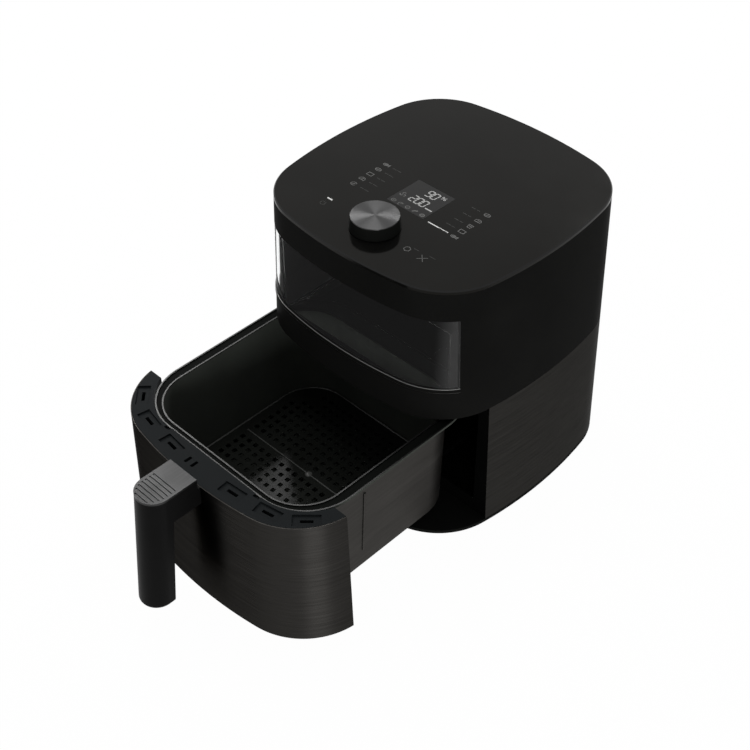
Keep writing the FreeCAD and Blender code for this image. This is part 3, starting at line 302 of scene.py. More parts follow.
def brushing_group():
    """Fine lines along one direction, as on a brushed sheet."""
    group, given = new_group("brushing", [
        ("Stretch", "NodeSocketVector", (1.0, 1.0, 1.0)),
        ("Dark", "NodeSocketFloat", 0.7), ("Light", "NodeSocketFloat", 1.3)])
    place = add_vector_math(group, "MULTIPLY", given["Vector"], given["Stretch"])[0]
    fine = add_noise(group, place, 1.0, 5.0, 0.65)
    broad = add_noise(group, place, 0.17, 3.0, 0.6)
    fine_part = add_math(group, "MULTIPLY", fine, FINE_SHARE)
    broad_part = add_math(group, "MULTIPLY", broad, 1.0 - FINE_SHARE)
    both = add_math(group, "ADD", fine_part, broad_part)
    return end_group(group, given, range_of(group, both, given["Dark"], given["Light"]), broad, both)


def spun_group():
    """Fine rings about the Z axis through a centre, as on a turned cap."""
    group, given = new_group("spun_rings", [
        ("Centre", "NodeSocketVector", (0.0, 0.0, 0.0)), ("Pitch Scale", "NodeSocketFloat", 1800.0)])
    away = add_vector_math(group, "SUBTRACT", given["Vector"], given["Centre"])[0]
    flat = add_vector_math(group, "MULTIPLY", away, (1.0, 1.0, 0.0))[0]
    ring = add_node(group, "ShaderNodeCombineXYZ", {0: add_vector_math(group, "LENGTH", flat)["Value"]})
    fine = add_noise(group, ring.outputs[0], given["Pitch Scale"], 4.0, 0.6)
    return end_group(group, given, range_of(group, fine, 0.82, 1.18), fine, fine)


def grain_group():
    """Fine moulded grain with a slow change of gloss over it."""
    group, given = new_group("moulded_grain", [("Grain Scale", "NodeSocketFloat", 1500.0)])
    fine = add_noise(group, given["Vector"], given["Grain Scale"], 2.0)
    slow = add_noise(group, given["Vector"], 14.0, 4.0)
    return end_group(group, given, range_of(group, slow, 0.85, 1.15), slow, fine)


GROUPS = {"brushing": brushing_group(), "spun": spun_group(), "grain": grain_group()}


# Materials

QUARTER_TURN = 0.25
SPUN_DEPTH = 0.00001


def blank_material(name):
    material = bpy.data.materials.new(name)
    material.use_nodes = True
    tree = material.node_tree
    shader = tree.nodes["Principled BSDF"]
    coords = tree.nodes.new("ShaderNodeTexCoord")
    return material, tree, shader.inputs, coords.outputs["Object"]


def use_group(tree, name, vector, **values):
    node = tree.nodes.new("ShaderNodeGroup")
    node.node_tree = GROUPS[name]
    tree.links.new(vector, node.inputs["Vector"])
    for label, value in values.items():
        node.inputs[label.replace("_", " ")].default_value = value
    return node.outputs


def toned(tree, socket, colour, tone):
    """Colour that is a fixed colour times a tone over the surface."""
    mix = tree.nodes.new("ShaderNodeMix")
    mix.data_type = "RGBA"
    mix.blend_type = "MULTIPLY"
    mix.inputs[0].default_value = 1.0
    mix.inputs[6].default_value = (*colour, 1.0)
    tree.links.new(tone, mix.inputs[7])
    tree.links.new(mix.outputs[2], socket)


def surfaced(tree, sockets, made, colour, depth):
    """Colour, gloss and fine relief from what a group puts out."""
    toned(tree, sockets["Base Color"], colour, made["Tone"])
    tree.links.new(made["Roughness"], sockets["Roughness"])
    bump = add_node(tree, "ShaderNodeBump", {"Strength": 1.0, "Distance": depth, "Height": made["Height"]})
    tree.links.new(bump.outputs["Normal"], sockets["Normal"])


def moulded(name, colour, rough, specular=0.1, grain=1500.0, depth=0.00002, tint=(1.0, 1.0, 1.0)):
    """Plastic, rubber, coating or ceramic. The tint colours its reflections."""
    material, tree, sockets, place = blank_material(name)
    made = use_group(tree, "grain", place, Grain_Scale=grain, Rough_Low=rough[0], Rough_High=rough[1])
    surfaced(tree, sockets, made, colour, depth)
    sockets["Specular IOR Level"].default_value = specular
    sockets["Specular Tint"].default_value = (*tint, 1.0)
    return material


def brushed(name, colour, stretch, tone, rough, depth, anisotropy=0.6, edge=1.0):
    """Brushed metal. The edge darkens what it reflects at a flat angle."""
    material, tree, sockets, place = blank_material(name)
    made = use_group(tree, "brushing", place, Stretch=stretch, Dark=tone[0], Light=tone[1],
                     Rough_Low=rough[0], Rough_High=rough[1])
    surfaced(tree, sockets, made, colour, depth)
    sockets["Metallic"].default_value = 1.0
    sockets["Specular Tint"].default_value = (edge, edge, edge, 1.0)
    sockets["Anisotropic"].default_value = anisotropy
    sockets["Anisotropic Rotation"].default_value = QUARTER_TURN
    return material


def spun(name, colour, centre, rough):
    """Turned metal with rings about a centre."""
    material, tree, sockets, place = blank_material(name)
    made = use_group(tree, "spun", place, Centre=centre, Rough_Low=rough[0], Rough_High=rough[1])
    surfaced(tree, sockets, made, colour, SPUN_DEPTH)
    sockets["Metallic"].default_value = 1.0
    sockets["Anisotropic"].default_value = 0.95
    sockets["Anisotropic Rotation"].default_value = QUARTER_TURN
    return material


def clear_glass(name, tint, ior, painted_glow=(0.0, 0.0)):
    """Clear pane with faint painted light: a glow given for its middle, and a painted reflection given for
    its bent ends.
    """
    material, tree, sockets, place = blank_material(name)
    made = use_group(tree, "grain", place, Grain_Scale=40.0, Rough_Low=0.0, Rough_High=0.004)
    tree.links.new(made["Roughness"], sockets["Roughness"])
    sockets["Base Color"].default_value = (*tint, 1.0)
    sockets["Transmission Weight"].default_value = 1.0
    sockets["IOR"].default_value = ior
    # The emission is painted light: a faint glow over the pane that grows into a painted reflection towards
    # its bent ends.
    sockets["Emission Strength"].default_value = 1.0
    parts = add_node(tree, "ShaderNodeSeparateXYZ", {0: place})
    side = add_math(tree, "ABSOLUTE", parts.outputs[0])
    tree.links.new(range_of(tree, side, *painted_glow, PAINTED_SHINE_START_X, PAINTED_SHINE_END_X), sockets["Emission Color"])
    return material


def printed(name, colour, glow):
    """Thin print on the top, faintly lit from below."""
    material, tree, sockets, place = blank_material(name)
    made = use_group(tree, "grain", place, Grain_Scale=2500.0, Rough_Low=0.3, Rough_High=0.4)
    toned(tree, sockets["Base Color"], colour, made["Tone"])
    toned(tree, sockets["Emission Color"], colour, made["Tone"])
    tree.links.new(made["Roughness"], sockets["Roughness"])
    sockets["Emission Strength"].default_value = glow
    sockets["Specular IOR Level"].default_value = 0.1
    return material


WARM = (1.0, 0.95, 0.85)
PLAIN_LINES = (60.0, 60.0, 300.0)

FINISH = {
    "shell": moulded("satin_black_shell", (0.0085, 0.0085, 0.0081), (0.42, 0.52), 0.003),
    "panel": moulded("gloss_black_top", (0.0045, 0.0045, 0.0042), (0.08, 0.14), 0.085, 900.0, 0.000003, WARM),
    "edge": moulded("gloss_black_edge", (0.006, 0.006, 0.006), (0.2, 0.28), 0.2, 900.0, 0.000004),
    "knob": moulded("gloss_black_dial", (0.008, 0.0085, 0.0078), (0.3, 0.4), 0.006, 900.0, 0.000004),
    "lens": moulded("display_window", (0.014, 0.0138, 0.0135), (0.14, 0.2), 0.14, 900.0, 0.000003),
    # A darker copy of the black plastic for the frame in the bay: painted shade.
    "frame_shade": moulded("frame_painted_shade", (0.0024, 0.0025, 0.0024), (0.5, 0.65), 0.003),
    "plastic": moulded("matt_black_plastic", (0.0075, 0.0079, 0.0074), (0.5, 0.65), 0.01),
    "rim": moulded("blue_grey_rim", (0.0108, 0.0124, 0.0132), (0.45, 0.6), 0.03),
    "grip": moulded("satin_black_grip", (0.0045, 0.0045, 0.0045), (0.34, 0.42), 0.03),
    "nonstick": moulded("nonstick_black", (0.05, 0.0545, 0.048), (0.4, 0.55), 0.015, 1100.0, 0.00003),
    "flange_black": moulded("flange_coating", (0.0045, 0.005, 0.0045), (0.35, 0.5), 0.01, 1100.0, 0.00003),
    "plate": moulded("nonstick_plate", (0.011, 0.0119, 0.0106), (0.12, 0.18), 0.105, 1100.0, 0.00001),
    # Lighter colour on the plate's bead, crease and dome: a painted highlight.
    "bead_highlight": moulded("painted_bead_highlight", (0.06, 0.0615, 0.058), (0.25, 0.35), 0.2, 1100.0, 0.00001),
    "rubber": moulded("black_rubber", (0.008, 0.008, 0.008), (0.7, 0.85), 0.03),
    "board": moulded("green_board", (0.02, 0.12, 0.05), (0.4, 0.5)),
    "ceramic": moulded("pale_ceramic", (0.75, 0.72, 0.66), (0.4, 0.6)),
    "heater": moulded("heater_tube", (0.03, 0.029, 0.028), (0.45, 0.6), 0.2),
    "liner": brushed("chamber_sheet", (0.09, 0.09, 0.088), (30.0, 30.0, 200.0),
                     (0.85, 1.15), (0.4, 0.5), 0.00002, 0.0),
    "ledge": brushed("ledge_steel", (0.13, 0.13, 0.127), PLAIN_LINES,
                     (0.85, 1.15), (0.3, 0.4), 0.00001, 0.0, 0.7),
    "sleeve": brushed("dark_brushed_steel", (0.0285, 0.0275, 0.0257), (40.0, 40.0, 2600.0),
                      (0.5, 1.55), (0.4, 0.52), 0.00002, 0.8, 0.48),
    "skin": brushed("dark_brushed_front", (0.0345, 0.0331, 0.0311), (60.0, 60.0, 4200.0),
                    (0.7, 1.35), (0.34, 0.42), 0.00001, 0.92, 0.1),
    "handle_steel": brushed("light_brushed_steel", (0.045, 0.045, 0.045), (900.0, 30.0, 900.0),
                            (0.8, 1.2), (0.32, 0.44), 0.00001, 0.3, 0.7),
    "pan_steel": brushed("pan_outside_steel", (0.0525, 0.0502, 0.0472), (25.0, 25.0, 500.0),
                         (0.8, 1.2), (0.42, 0.52), 0.00002, 0.3, 0.5),
    "trim": brushed("edge_steel", (0.055, 0.055, 0.054), PLAIN_LINES,
                    (0.85, 1.15), (0.3, 0.4), 0.00001, 0.0, 0.7),
    "metal": brushed("plain_sheet_metal", (0.22, 0.22, 0.215), PLAIN_LINES,
                     (0.8, 1.15), (0.35, 0.5), 0.00002, 0.2),
    "dark_metal": brushed("blackened_sheet", (0.012, 0.012, 0.0118), PLAIN_LINES,
                          (0.8, 1.2), (0.45, 0.6), 0.00002, 0.0, 0.4),
    "screw": brushed("bright_screw_steel", (0.45, 0.45, 0.45), (300.0, 300.0, 300.0),
                     (0.85, 1.1), (0.3, 0.45), 0.00001, 0.0),
    "cap": spun("spun_steel", (0.068, 0.0677, 0.068), middle_of("knob_body"), (0.31, 0.41)),
    # The window glows faintly, painted light, with a painted reflection at its bent ends.
    "glass": clear_glass("window_clear_glass", (0.97, 0.975, 0.975), 1.02, (0.0045, 0.02)),
    "inner_glass": clear_glass("inner_clear_glass", (0.99, 0.99, 0.99), 1.01),
    "print": printed("grey_print", (0.08, 0.08, 0.078), 0.5),
    "faint_print": printed("faint_print", (0.022, 0.022, 0.021), 0.2),
    "bright_print": printed("white_print", (0.4, 0.4, 0.39), 0.6),
    "digits": printed("display_digits", (0.24, 0.24, 0.235), 0.7),
}

# CAD nodes that are shown as they are, by finish
WEARS = {
    "shell": ("rear_grille",),
    # The frame in the bay is painted darker: painted shade.
    "frame_shade": ("lower_frame",),
    "plastic": ("base_tray", "drawer_front_core", "cord_gland", "drawer_rails", "chamber_deck",
                "display_module", "rotary_encoder", "cooling_fan"),
    "lens": ("display_lens",),
    "liner": ("chamber_liner",),
    "rubber": ("rubber_feet", "plate_bumpers"),
    "board": ("control_board", "power_board"),
    "ceramic": ("heater_insulators",),
    "dark_metal": ("bay_floor", "temperature_probe"),
    "metal": ("exhaust_duct", "heater_clips", "chamber_lamp", "motor_bracket", "motor", "hot_air_fan",
              "pan_bracket"),
    "heater": ("heater_coil",),
    "screw": ("board_screws", "encoder_shaft", "motor_bearings", "motor_shaft", "pan_screws",
              "handle_screws"),
    "glass": ("window_glass", "lamp_lens"),
    "inner_glass": ("inner_pane",),
}


def dress_cad():
    for finish, names in WEARS.items():
        for name in names:
            for slot in cad[name].material_slots:
                slot.material = FINISH[finish]


# Copies of the seen CAD nodes


def place_piece(name, mesh, body, replaced=()):
    piece = linked(name, mesh)
    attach(piece, body)
    if replaced:
        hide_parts(*replaced)


def evaluated_mesh(carrier, name):
    """Mesh of an object with its modifiers applied. The object is removed."""
    seen = carrier.evaluated_get(bpy.context.evaluated_depsgraph_get())
    mesh = bpy.data.meshes.new_from_object(seen)
    bpy.data.objects.remove(carrier)
    mesh.name = name
    return mesh


def merged_mesh(node, name):
    """Copy of a CAD node with its triangles joined, smooth except over sharp edges."""
    work = bmesh.new()
    work.from_mesh(cad[node].data)
    bmesh.ops.remove_doubles(work, verts=work.verts, dist=MERGE_DISTANCE)
    bmesh.ops.dissolve_limit(work, angle_limit=FLAT_ANGLE, verts=work.verts, edges=work.edges)
    for face in work.faces:
        face.smooth = True
    for edge in work.edges:
        edge.smooth = edge.is_manifold and edge.calc_face_angle(0.0) < SHARP_ANGLE
    mesh = bpy.data.meshes.new(name)
    work.to_mesh(mesh)
    work.free()
    stale = mesh.attributes.get("custom_normal")
    if stale:
        mesh.attributes.remove(stale)
    return mesh


def bevelled(mesh, name, width):
    carrier = linked(name, mesh)
    bevel = carrier.modifiers.new("bevel", "BEVEL")
    bevel.width = width
    bevel.segments = 2
    bevel.limit_method = "ANGLE"
    bevel.angle_limit = SHARP_ANGLE
    bevel.harden_normals = True
    bevel.use_clamp_overlap = True
    bevel.miter_outer = "MITER_ARC"
    return evaluated_mesh(carrier, name)


def rounded_copy(node, name, finish, width, body, paint=None):
    """Copy of a CAD node whose sharp edges are slightly rounded, in its finish."""
    mesh = merged_mesh(node, name)
    if width:
        mesh = bevelled(mesh, name, width)
    mesh.materials.clear()
    mesh.materials.append(FINISH[finish])
    for face in mesh.polygons:
        face.material_index = 0
    if paint:
        paint(mesh)
    place_piece(name, mesh, body, (node,))


def paint_bevel(mesh):
    """The bevelled edge of the top is glossier than its face."""
    mesh.materials.append(FINISH["edge"])
    low, high = TOP_BEVEL_NORMALS
    for face in mesh.polygons:
        if low < face.normal.z < high and face.center.z > TOP_Z - TOP_BEVEL:
            face.material_index = 1


def paint_pan(mesh):
    """Coated inside and flange, and bare steel outside and on both raised edges."""
    for finish in ("pan_steel", "trim", "flange_black"):
        mesh.materials.append(FINISH[finish])
    middle = middle_of("crisper_plate")
    pan_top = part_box("pan")[1].z
    for face in mesh.polygons:
        out = face.center - middle
        depth = pan_top - face.center.z
        outward = face.normal.x * out.x + face.normal.y * out.y > 0.0
        wall = abs(face.normal.z) < LEVEL_NORMAL and outward and depth > PAN_WALL
        if wall or face.normal.z < -LEVEL_NORMAL:
            face.material_index = 1
        elif depth < PAN_LIP:
            face.material_index = 2
        elif depth < PAN_FLANGE and face.normal.z > LEVEL_NORMAL:
            face.material_index = 3


def paint_ledge(mesh):
    """Rounded edges of the ledge under the pane shine."""
    mesh.materials.append(FINISH["ledge"])
    low, high = LEDGE_EDGE_NORMALS
    for face in mesh.polygons:
        if low < abs(face.normal.z) < high:
            face.material_index = 1


def dress_shells():
    rounded_copy("upper_shell", "upper_shell_moulding", "shell", 0.0005, "housing")
    rounded_copy("window_sill", "window_ledge", "shell", 0.0005, "housing", paint_ledge)
    rounded_copy("top_panel", "top_plate", "panel", 0.0, "housing", paint_bevel)
    rounded_copy("lower_sleeve", "brushed_sleeve", "sleeve", 0.0003, "housing")
    rounded_copy("drawer_front_skin", "brushed_front", "skin", 0.0003, "drawer")
    rounded_copy("drawer_rim", "slotted_rim", "rim", 0.0004, "drawer")
    rounded_copy("handle_grip", "upright_grip", "grip", 0.0008, "drawer")
    rounded_copy("handle_cap", "grooved_cap", "handle_steel", 0.0, "drawer")
    rounded_copy("knob_body", "dial_skirt", "knob", 0.0004, "knob")
    rounded_copy("knob_cap", "dial_cap", "cap", 0.0003, "knob")
    rounded_copy("pan", "drawer_pan", "nonstick", 0.0, "drawer", paint_pan)


# Perforated plate, made by Geometry Nodes about the middle of its sheet's upper face

PLATE_LENGTHS = ("Half Width", "Half Depth", "Corner", "Border", "Pitch", "Hole", "Thickness",
                 "Leg X", "Leg Y", "Leg Length")


def joined_geometry(tree, parts):
    node = tree.nodes.new("GeometryNodeJoinGeometry")
    for part in parts:
        tree.links.new(part, node.inputs[0])
    return node.outputs[0]


def lifted(tree, geometry, height):
    place = add_node(tree, "ShaderNodeCombineXYZ", {2: height})
    move = {"Geometry": geometry, "Translation": place.outputs[0]}
    return add_node(tree, "GeometryNodeTransform", move).outputs[0]


def length_of(tree, x, y):
    squares = [add_math(tree, "MULTIPLY", side, side) for side in (x, y)]
    return add_math(tree, "SQRT", add_math(tree, "ADD", *squares))


def rounded_frame(tree, width, depth, corner, steps):
    """Closed curve of a rectangle with round corners."""
    square = add_node(tree, "GeometryNodeCurvePrimitiveQuadrilateral", {"Width": width, "Height": depth})
    corners = {"Curve": square.outputs[0], "Radius": corner, "Count": steps}
    return add_node(tree, "GeometryNodeFilletCurve", corners, mode="POLY").outputs[0]


def round_bar(tree, line, radius, capped):
    """Round bar along a curve."""
    ring = add_node(tree, "GeometryNodeCurvePrimitiveCircle", {"Resolution": 10, "Radius": radius})
    sweep = {"Curve": line, "Profile Curve": ring.outputs[0], "Fill Caps": capped}
    return add_node(tree, "GeometryNodeCurveToMesh", sweep).outputs[0]


def hole_field(tree, given):
    """Grid points, and which of them get a hole: none on the border, on the crease or over a leg."""
    m = partial(add_math, tree)
    place = tree.nodes.new("GeometryNodeInputPosition").outputs[0]
    spot = add_node(tree, "ShaderNodeSeparateXYZ", {0: place}).outputs
    corner = m("SUBTRACT", given["Corner"], given["Border"])
    size, away, past, to_leg = {}, [], [], []
    for index, (axis, half) in enumerate((("X", given["Half Width"]), ("Y", given["Half Depth"]))):
        steps = m("MULTIPLY", m("CEIL", m("DIVIDE", half, given["Pitch"])), 2.0)
        size["Size " + axis] = m("MULTIPLY", steps, given["Pitch"])
        size["Vertices " + axis] = m("ADD", steps, 1.0)
        straight = m("SUBTRACT", m("SUBTRACT", half, given["Border"]), corner)
        away.append(m("ABSOLUTE", spot[index]))
        past.append(m("SUBTRACT", away[index], straight))
        to_leg.append(m("SUBTRACT", away[index], given["Leg " + axis]))
    grid = add_node(tree, "GeometryNodeMeshGrid", size)

    # How far a point lies outside the border's inner edge, whose corners are round
    over = [m("MAXIMUM", value, 0.0) for value in past]
    inward = m("MINIMUM", m("MAXIMUM", *past), 0.0)
    outside = m("SUBTRACT", m("ADD", length_of(tree, *over), inward), corner)

    inside = m("LESS_THAN", outside, m("MULTIPLY", given["Hole"], -BORDER_CLEARANCE))
    off_leg = m("GREATER_THAN", length_of(tree, *to_leg), m("MULTIPLY", given["Hole"], LEG_CLEARANCE))
    off_crease = m("GREATER_THAN", away[1], m("MULTIPLY", given["Pitch"], CREASE_CLEARANCE))
    return grid.outputs[0], m("MULTIPLY", m("MULTIPLY", inside, off_leg), off_crease)


def pierced_sheet(tree, given, outer):
    """Sheet with its holes, closed below by the same sheet pushed down."""
    points, pierced = hole_field(tree, given)
    hole = given["Hole"]
    gap = rounded_frame(tree, hole, hole, add_math(tree, "MULTIPLY", hole, HOLE_ROUNDING), 4)
    gaps = add_node(tree, "GeometryNodeInstanceOnPoints", {
        "Points": points, "Selection": pierced, "Instance": gap})
    cut = add_node(tree, "GeometryNodeRealizeInstances", {0: gaps.outputs[0]})
    outline = joined_geometry(tree, [outer, cut.outputs[0]])
    sheet = add_node(tree, "GeometryNodeFillCurve", {0: outline}, mode="NGONS").outputs[0]
    down = add_math(tree, "MULTIPLY", given["Thickness"], -1.0)
    pushed = add_node(tree, "GeometryNodeExtrudeMesh", {
        "Mesh": sheet, "Offset Scale": down, "Individual": False}, mode="FACES")
    both = joined_geometry(tree, [sheet, pushed.outputs[0]])
    knit = {"Geometry": both, "Distance": KNIT_DISTANCE}
    return add_node(tree, "GeometryNodeMergeByDistance", knit).outputs[0]


def plate_crease(tree, given):
    """Raised line across the middle."""
    inner = add_math(tree, "SUBTRACT", given["Half Width"], given["Border"])
    left = add_node(tree, "ShaderNodeCombineXYZ", {0: add_math(tree, "MULTIPLY", inner, -1.0)})
    right = add_node(tree, "ShaderNodeCombineXYZ", {0: inner})
    line = add_node(tree, "GeometryNodeCurvePrimitiveLine", {
        "Start": left.outputs[0], "End": right.outputs[0]})
    radius = add_math(tree, "MULTIPLY", given["Thickness"], CREASE_RADIUS)
    return round_bar(tree, line.outputs[0], radius, True)


def plate_dome(tree, given):
    """Small dome on the crease."""
    radius = add_math(tree, "MULTIPLY", given["Hole"], DOME_RADIUS)
    ball = add_node(tree, "GeometryNodeMeshUVSphere", {"Segments": 20, "Rings": 10, "Radius": radius})
    flat = {"Geometry": ball.outputs[0], "Scale": (1.0, 1.0, DOME_HEIGHT)}
    return add_node(tree, "GeometryNodeTransform", flat).outputs[0]


def plate_legs(tree, given):
    m = partial(add_math, tree)
    corners = add_node(tree, "GeometryNodeMeshGrid", {
        "Size X": m("MULTIPLY", given["Leg X"], 2.0), "Size Y": m("MULTIPLY", given["Leg Y"], 2.0),
        "Vertices X": 2, "Vertices Y": 2})
    leg = add_node(tree, "GeometryNodeMeshCylinder", {
        "Vertices": 24, "Radius": m("MULTIPLY", given["Hole"], LEG_RADIUS), "Depth": given["Leg Length"]})
    drop = m("SUBTRACT", m("MULTIPLY", given["Leg Length"], -0.5), m("MULTIPLY", given["Thickness"], 0.5))
    return add_node(tree, "GeometryNodeInstanceOnPoints", {
        "Points": corners.outputs[0], "Instance": lifted(tree, leg.outputs[0], drop)}).outputs[0]


def plate_tree():
    tree = bpy.data.node_groups.new("perforated_plate", "GeometryNodeTree")
    tree.interface.new_socket("Geometry", in_out="INPUT", socket_type="NodeSocketGeometry")
    for label in PLATE_LENGTHS:
        tree.interface.new_socket(label, in_out="INPUT", socket_type="NodeSocketFloat")
    tree.interface.new_socket("Finish", in_out="INPUT", socket_type="NodeSocketMaterial")
    tree.interface.new_socket("Geometry", in_out="OUTPUT", socket_type="NodeSocketGeometry")
    given = tree.nodes.new("NodeGroupInput").outputs
    m = partial(add_math, tree)
    width, depth = m("MULTIPLY", given["Half Width"], 2.0), m("MULTIPLY", given["Half Depth"], 2.0)
    outer = rounded_frame(tree, width, depth, given["Corner"], 14)
    bead = round_bar(tree, outer, m("MULTIPLY", given["Thickness"], BEAD_RADIUS), False)
    whole = joined_geometry(tree, [
        pierced_sheet(tree, given, outer),
        lifted(tree, bead, m("MULTIPLY", given["Thickness"], -BEAD_DROP)),
        plate_crease(tree, given),
        plate_dome(tree, given),
        plate_legs(tree, given),
    ])
    real = add_node(tree, "GeometryNodeRealizeInstances", {0: whole})
    painted = add_node(tree, "GeometryNodeSetMaterial", {
        "Geometry": real.outputs[0], "Material": given["Finish"]})
    add_node(tree, "NodeGroupOutput", {0: painted.outputs[0]})
    return tree


def grown_mesh(name, tree, values):
    """Plain mesh from a Geometry Nodes tree with its named inputs set."""
    carrier = linked(name, bpy.data.meshes.new(name + "_seed"))
    nodes = carrier.modifiers.new("nodes", "NODES")
    nodes.node_group = tree
    for item in tree.interface.items_tree:
        if item.in_out == "INPUT" and item.name in values:
            nodes[item.identifier] = values[item.name]
    return evaluated_mesh(carrier, name)


def crisping_plate():
    low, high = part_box("crisper_plate")
    middle = middle_of("crisper_plate")
    half_depth = (high.y - low.y) / 2.0
    mesh = grown_mesh("crisping_plate", plate_tree(), {
        "Half Width": high.x, "Half Depth": half_depth, "Corner": PLATE_CORNER, "Border": PLATE_BORDER,
        "Pitch": HOLE_PITCH, "Hole": HOLE_SIZE, "Thickness": PLATE_SHEET,
        "Leg X": high.x - LEG_INSET_X, "Leg Y": half_depth - LEG_INSET_Y,
        "Leg Length": high.z - PLATE_SHEET - low.z, "Finish": FINISH["plate"]})
    mesh.transform(Matrix.Translation((0.0, middle.y, high.z)))
    work = bmesh.new()
    work.from_mesh(mesh)
    bmesh.ops.recalc_face_normals(work, faces=work.faces)
    for face in work.faces:
        face.smooth = True
    for edge in work.edges:
        edge.smooth = edge.calc_face_angle(0.0) < PLATE_SMOOTH_ANGLE
    work.to_mesh(mesh)
    work.free()
    mesh.materials.clear()
    for finish in ("plate", "bead_highlight"):
        mesh.materials.append(FINISH[finish])
    # Faces that rise above the sheet get the painted highlight.
    for face in mesh.polygons:
        face.material_index = int(face.center.z > high.z + PLATE_EDGE_LIFT)
    place_piece("crisping_plate", mesh, "crisper", ("crisper_plate",))


# Prints on the top


def ribbon(work, points, width, closed=False):
    """Flat line of one width through points, with mitred corners."""
    count = len(points)
    flat = [Vector(p) for p in points]
    rows = []
    for index in range(count):
        ways = []
        if closed or index > 0:
            ways.append((flat[index] - flat[index - 1]).normalized())
        if closed or index < count - 1:
            ways.append((flat[(index + 1) % count] - flat[index]).normalized())
        way = sum(ways, Vector((0.0, 0.0))).normalized()
        across = Vector((-way.y, way.x))
        reach = width / 2.0 / max(0.5, across.dot(Vector((-ways[0].y, ways[0].x))))
        pair = (flat[index] + across * reach, flat[index] - across * reach)
        rows.append([work.verts.new((p.x, p.y, 0.0)) for p in pair])
    for index in range(count if closed else count - 1):
        first, second = rows[index], rows[(index + 1) % count]
        work.faces.new((first[0], first[1], second[1], second[0]))


def arc(x, y, rx, ry, start=0.0, end=360.0, steps=16):
    """Points on an ellipse. An open arc has its end point too."""
    count = steps + (end - start < 360.0)
    turns = [math.radians(start + (end - start) * i / steps) for i in range(count)]
    return [(x + rx * math.cos(t), y + ry * math.sin(t)) for t in turns]


def raised_print(name, finish, draw, start):
    """Prints drawn flat in millimetres from a place, made into a thin film half sunk in the top."""
    work = bmesh.new()
    draw(work)
    bmesh.ops.scale(work, vec=(MM, MM, 1.0), verts=work.verts)
    bmesh.ops.translate(work, vec=(start.x, start.y, TOP_Z + PRINT_LIFT), verts=work.verts)
    bmesh.ops.recalc_face_normals(work, faces=work.faces)
    for face in work.faces:
        if face.normal.z < 0.0:
            face.normal_flip()
    made = bmesh.ops.extrude_face_region(work, geom=work.faces[:], use_keep_orig=True)
    low = [v for v in made["geom"] if isinstance(v, bmesh.types.BMVert)]
    bmesh.ops.translate(work, vec=(0.0, 0.0, -2.0 * PRINT_LIFT), verts=low)
    bmesh.ops.recalc_face_normals(work, faces=work.faces)
    mesh = bpy.data.meshes.new(name)
    work.to_mesh(mesh)
    work.free()
    mesh.materials.append(FINISH[finish])
    place_piece(name, mesh, "housing")


# Ends of the seven segments, in shares of a figure's width and height, and the figures in use
SEGMENT_ENDS = {
    "a": ((0, 1), (1, 1)), "b": ((1, 1), (1, 0.5)), "c": ((1, 0.5), (1, 0)), "d": ((0, 0), (1, 0)),
    "e": ((0, 0.5), (0, 0)), "f": ((0, 1), (0, 0.5)), "g": ((0, 0.5), (1, 0.5)),
}
SEGMENTS = {"0": "abcdef", "2": "abged", "9": "abcdfg"}


def digit(work, char, x, y):
    """Seven-segment figure with its lower left corner at a point."""
    for key in SEGMENTS[char]:
        first, second = (
            Vector((x + u * FIGURE_WIDTH + v * FIGURE_HEIGHT * FIGURE_SLANT, y + v * FIGURE_HEIGHT))
            for u, v in SEGMENT_ENDS[key])
        way = (second - first).normalized() * FIGURE_LINE * FIGURE_GAP
        ribbon(work, [first + way, second - way], FIGURE_LINE)


def draw_digits(work):
    for char, x in (("2", 15.0), ("0", 21.8), ("0", 28.6)):
        digit(work, char, x, 14.0)
    for char, x in (("9", 21.5), ("0", 28.3)):
        digit(work, char, x, 30.0)
    ribbon(work, [(37.0, 14.6), (45.5, 14.6)], 1.6)
    ribbon(work, arc(38.4, 39.4, 0.9, 0.9, steps=10), 0.6, True)
    ribbon(work, [(37.6, 36.0), (42.2, 40.4)], 0.7)
    ribbon(work, arc(41.6, 37.0, 0.9, 0.9, steps=10), 0.6, True)


def draw_display_icons(work):
    fan_x, fan_y = 6.5, 17.0
    for turn in (90.0, 210.0, 330.0):
        way = math.radians(turn)
        blade_x, blade_y = fan_x + 1.7 * math.cos(way), fan_y + 1.7 * math.sin(way)
        ribbon(work, arc(blade_x, blade_y, 1.7, 1.5, turn - 40.0, turn + 150.0, 8), 0.8)
    row = 4.2
    ribbon(work, arc(6.0, row, 2.6, 2.0), 0.6, True)
    ribbon(work, [(4.6, row), (7.4, row)], 0.6)
    ribbon(work, arc(15.3, row - 0.6, 2.4, 2.4, 20.0, 250.0, 12), 0.6)
    ribbon(work, [(15.3, row - 0.6), (17.6, row + 2.0)], 0.6)
    ribbon(work, arc(24.2, row, 2.4, 2.2), 0.6, True)
    ribbon(work, [(22.7, row - 1.6), (25.7, row + 1.6)], 0.6)
    ribbon(work, [(31.4, row - 1.8), (33.0, row + 0.4), (35.8, row + 2.0)], 1.5)
    ribbon(work, arc(43.0, row, 2.3, 1.9), 1.1, True)
    ribbon(work, [(41.4, row), (44.6, row)], 0.6)


def drop_icon(work, x, y):
    ribbon(work, arc(x, y, 3.2, 2.6, 30.0, 330.0, 14), 0.7)
    ribbon(work, [(x - 1.6, y - 0.8), (x + 1.6, y + 0.8)], 0.9)


def dome_icon(work, x, y):
    ribbon(work, arc(x, y - 1.2, 3.4, 3.4, 0.0, 180.0, 12) + [(x - 3.4, y - 1.2)], 0.7)
    ribbon(work, [(x - 3.6, y - 2.0), (x + 3.6, y - 2.0)], 0.9)
    ribbon(work, [(x - 1.2, y), (x + 1.6, y + 0.6)], 0.9)


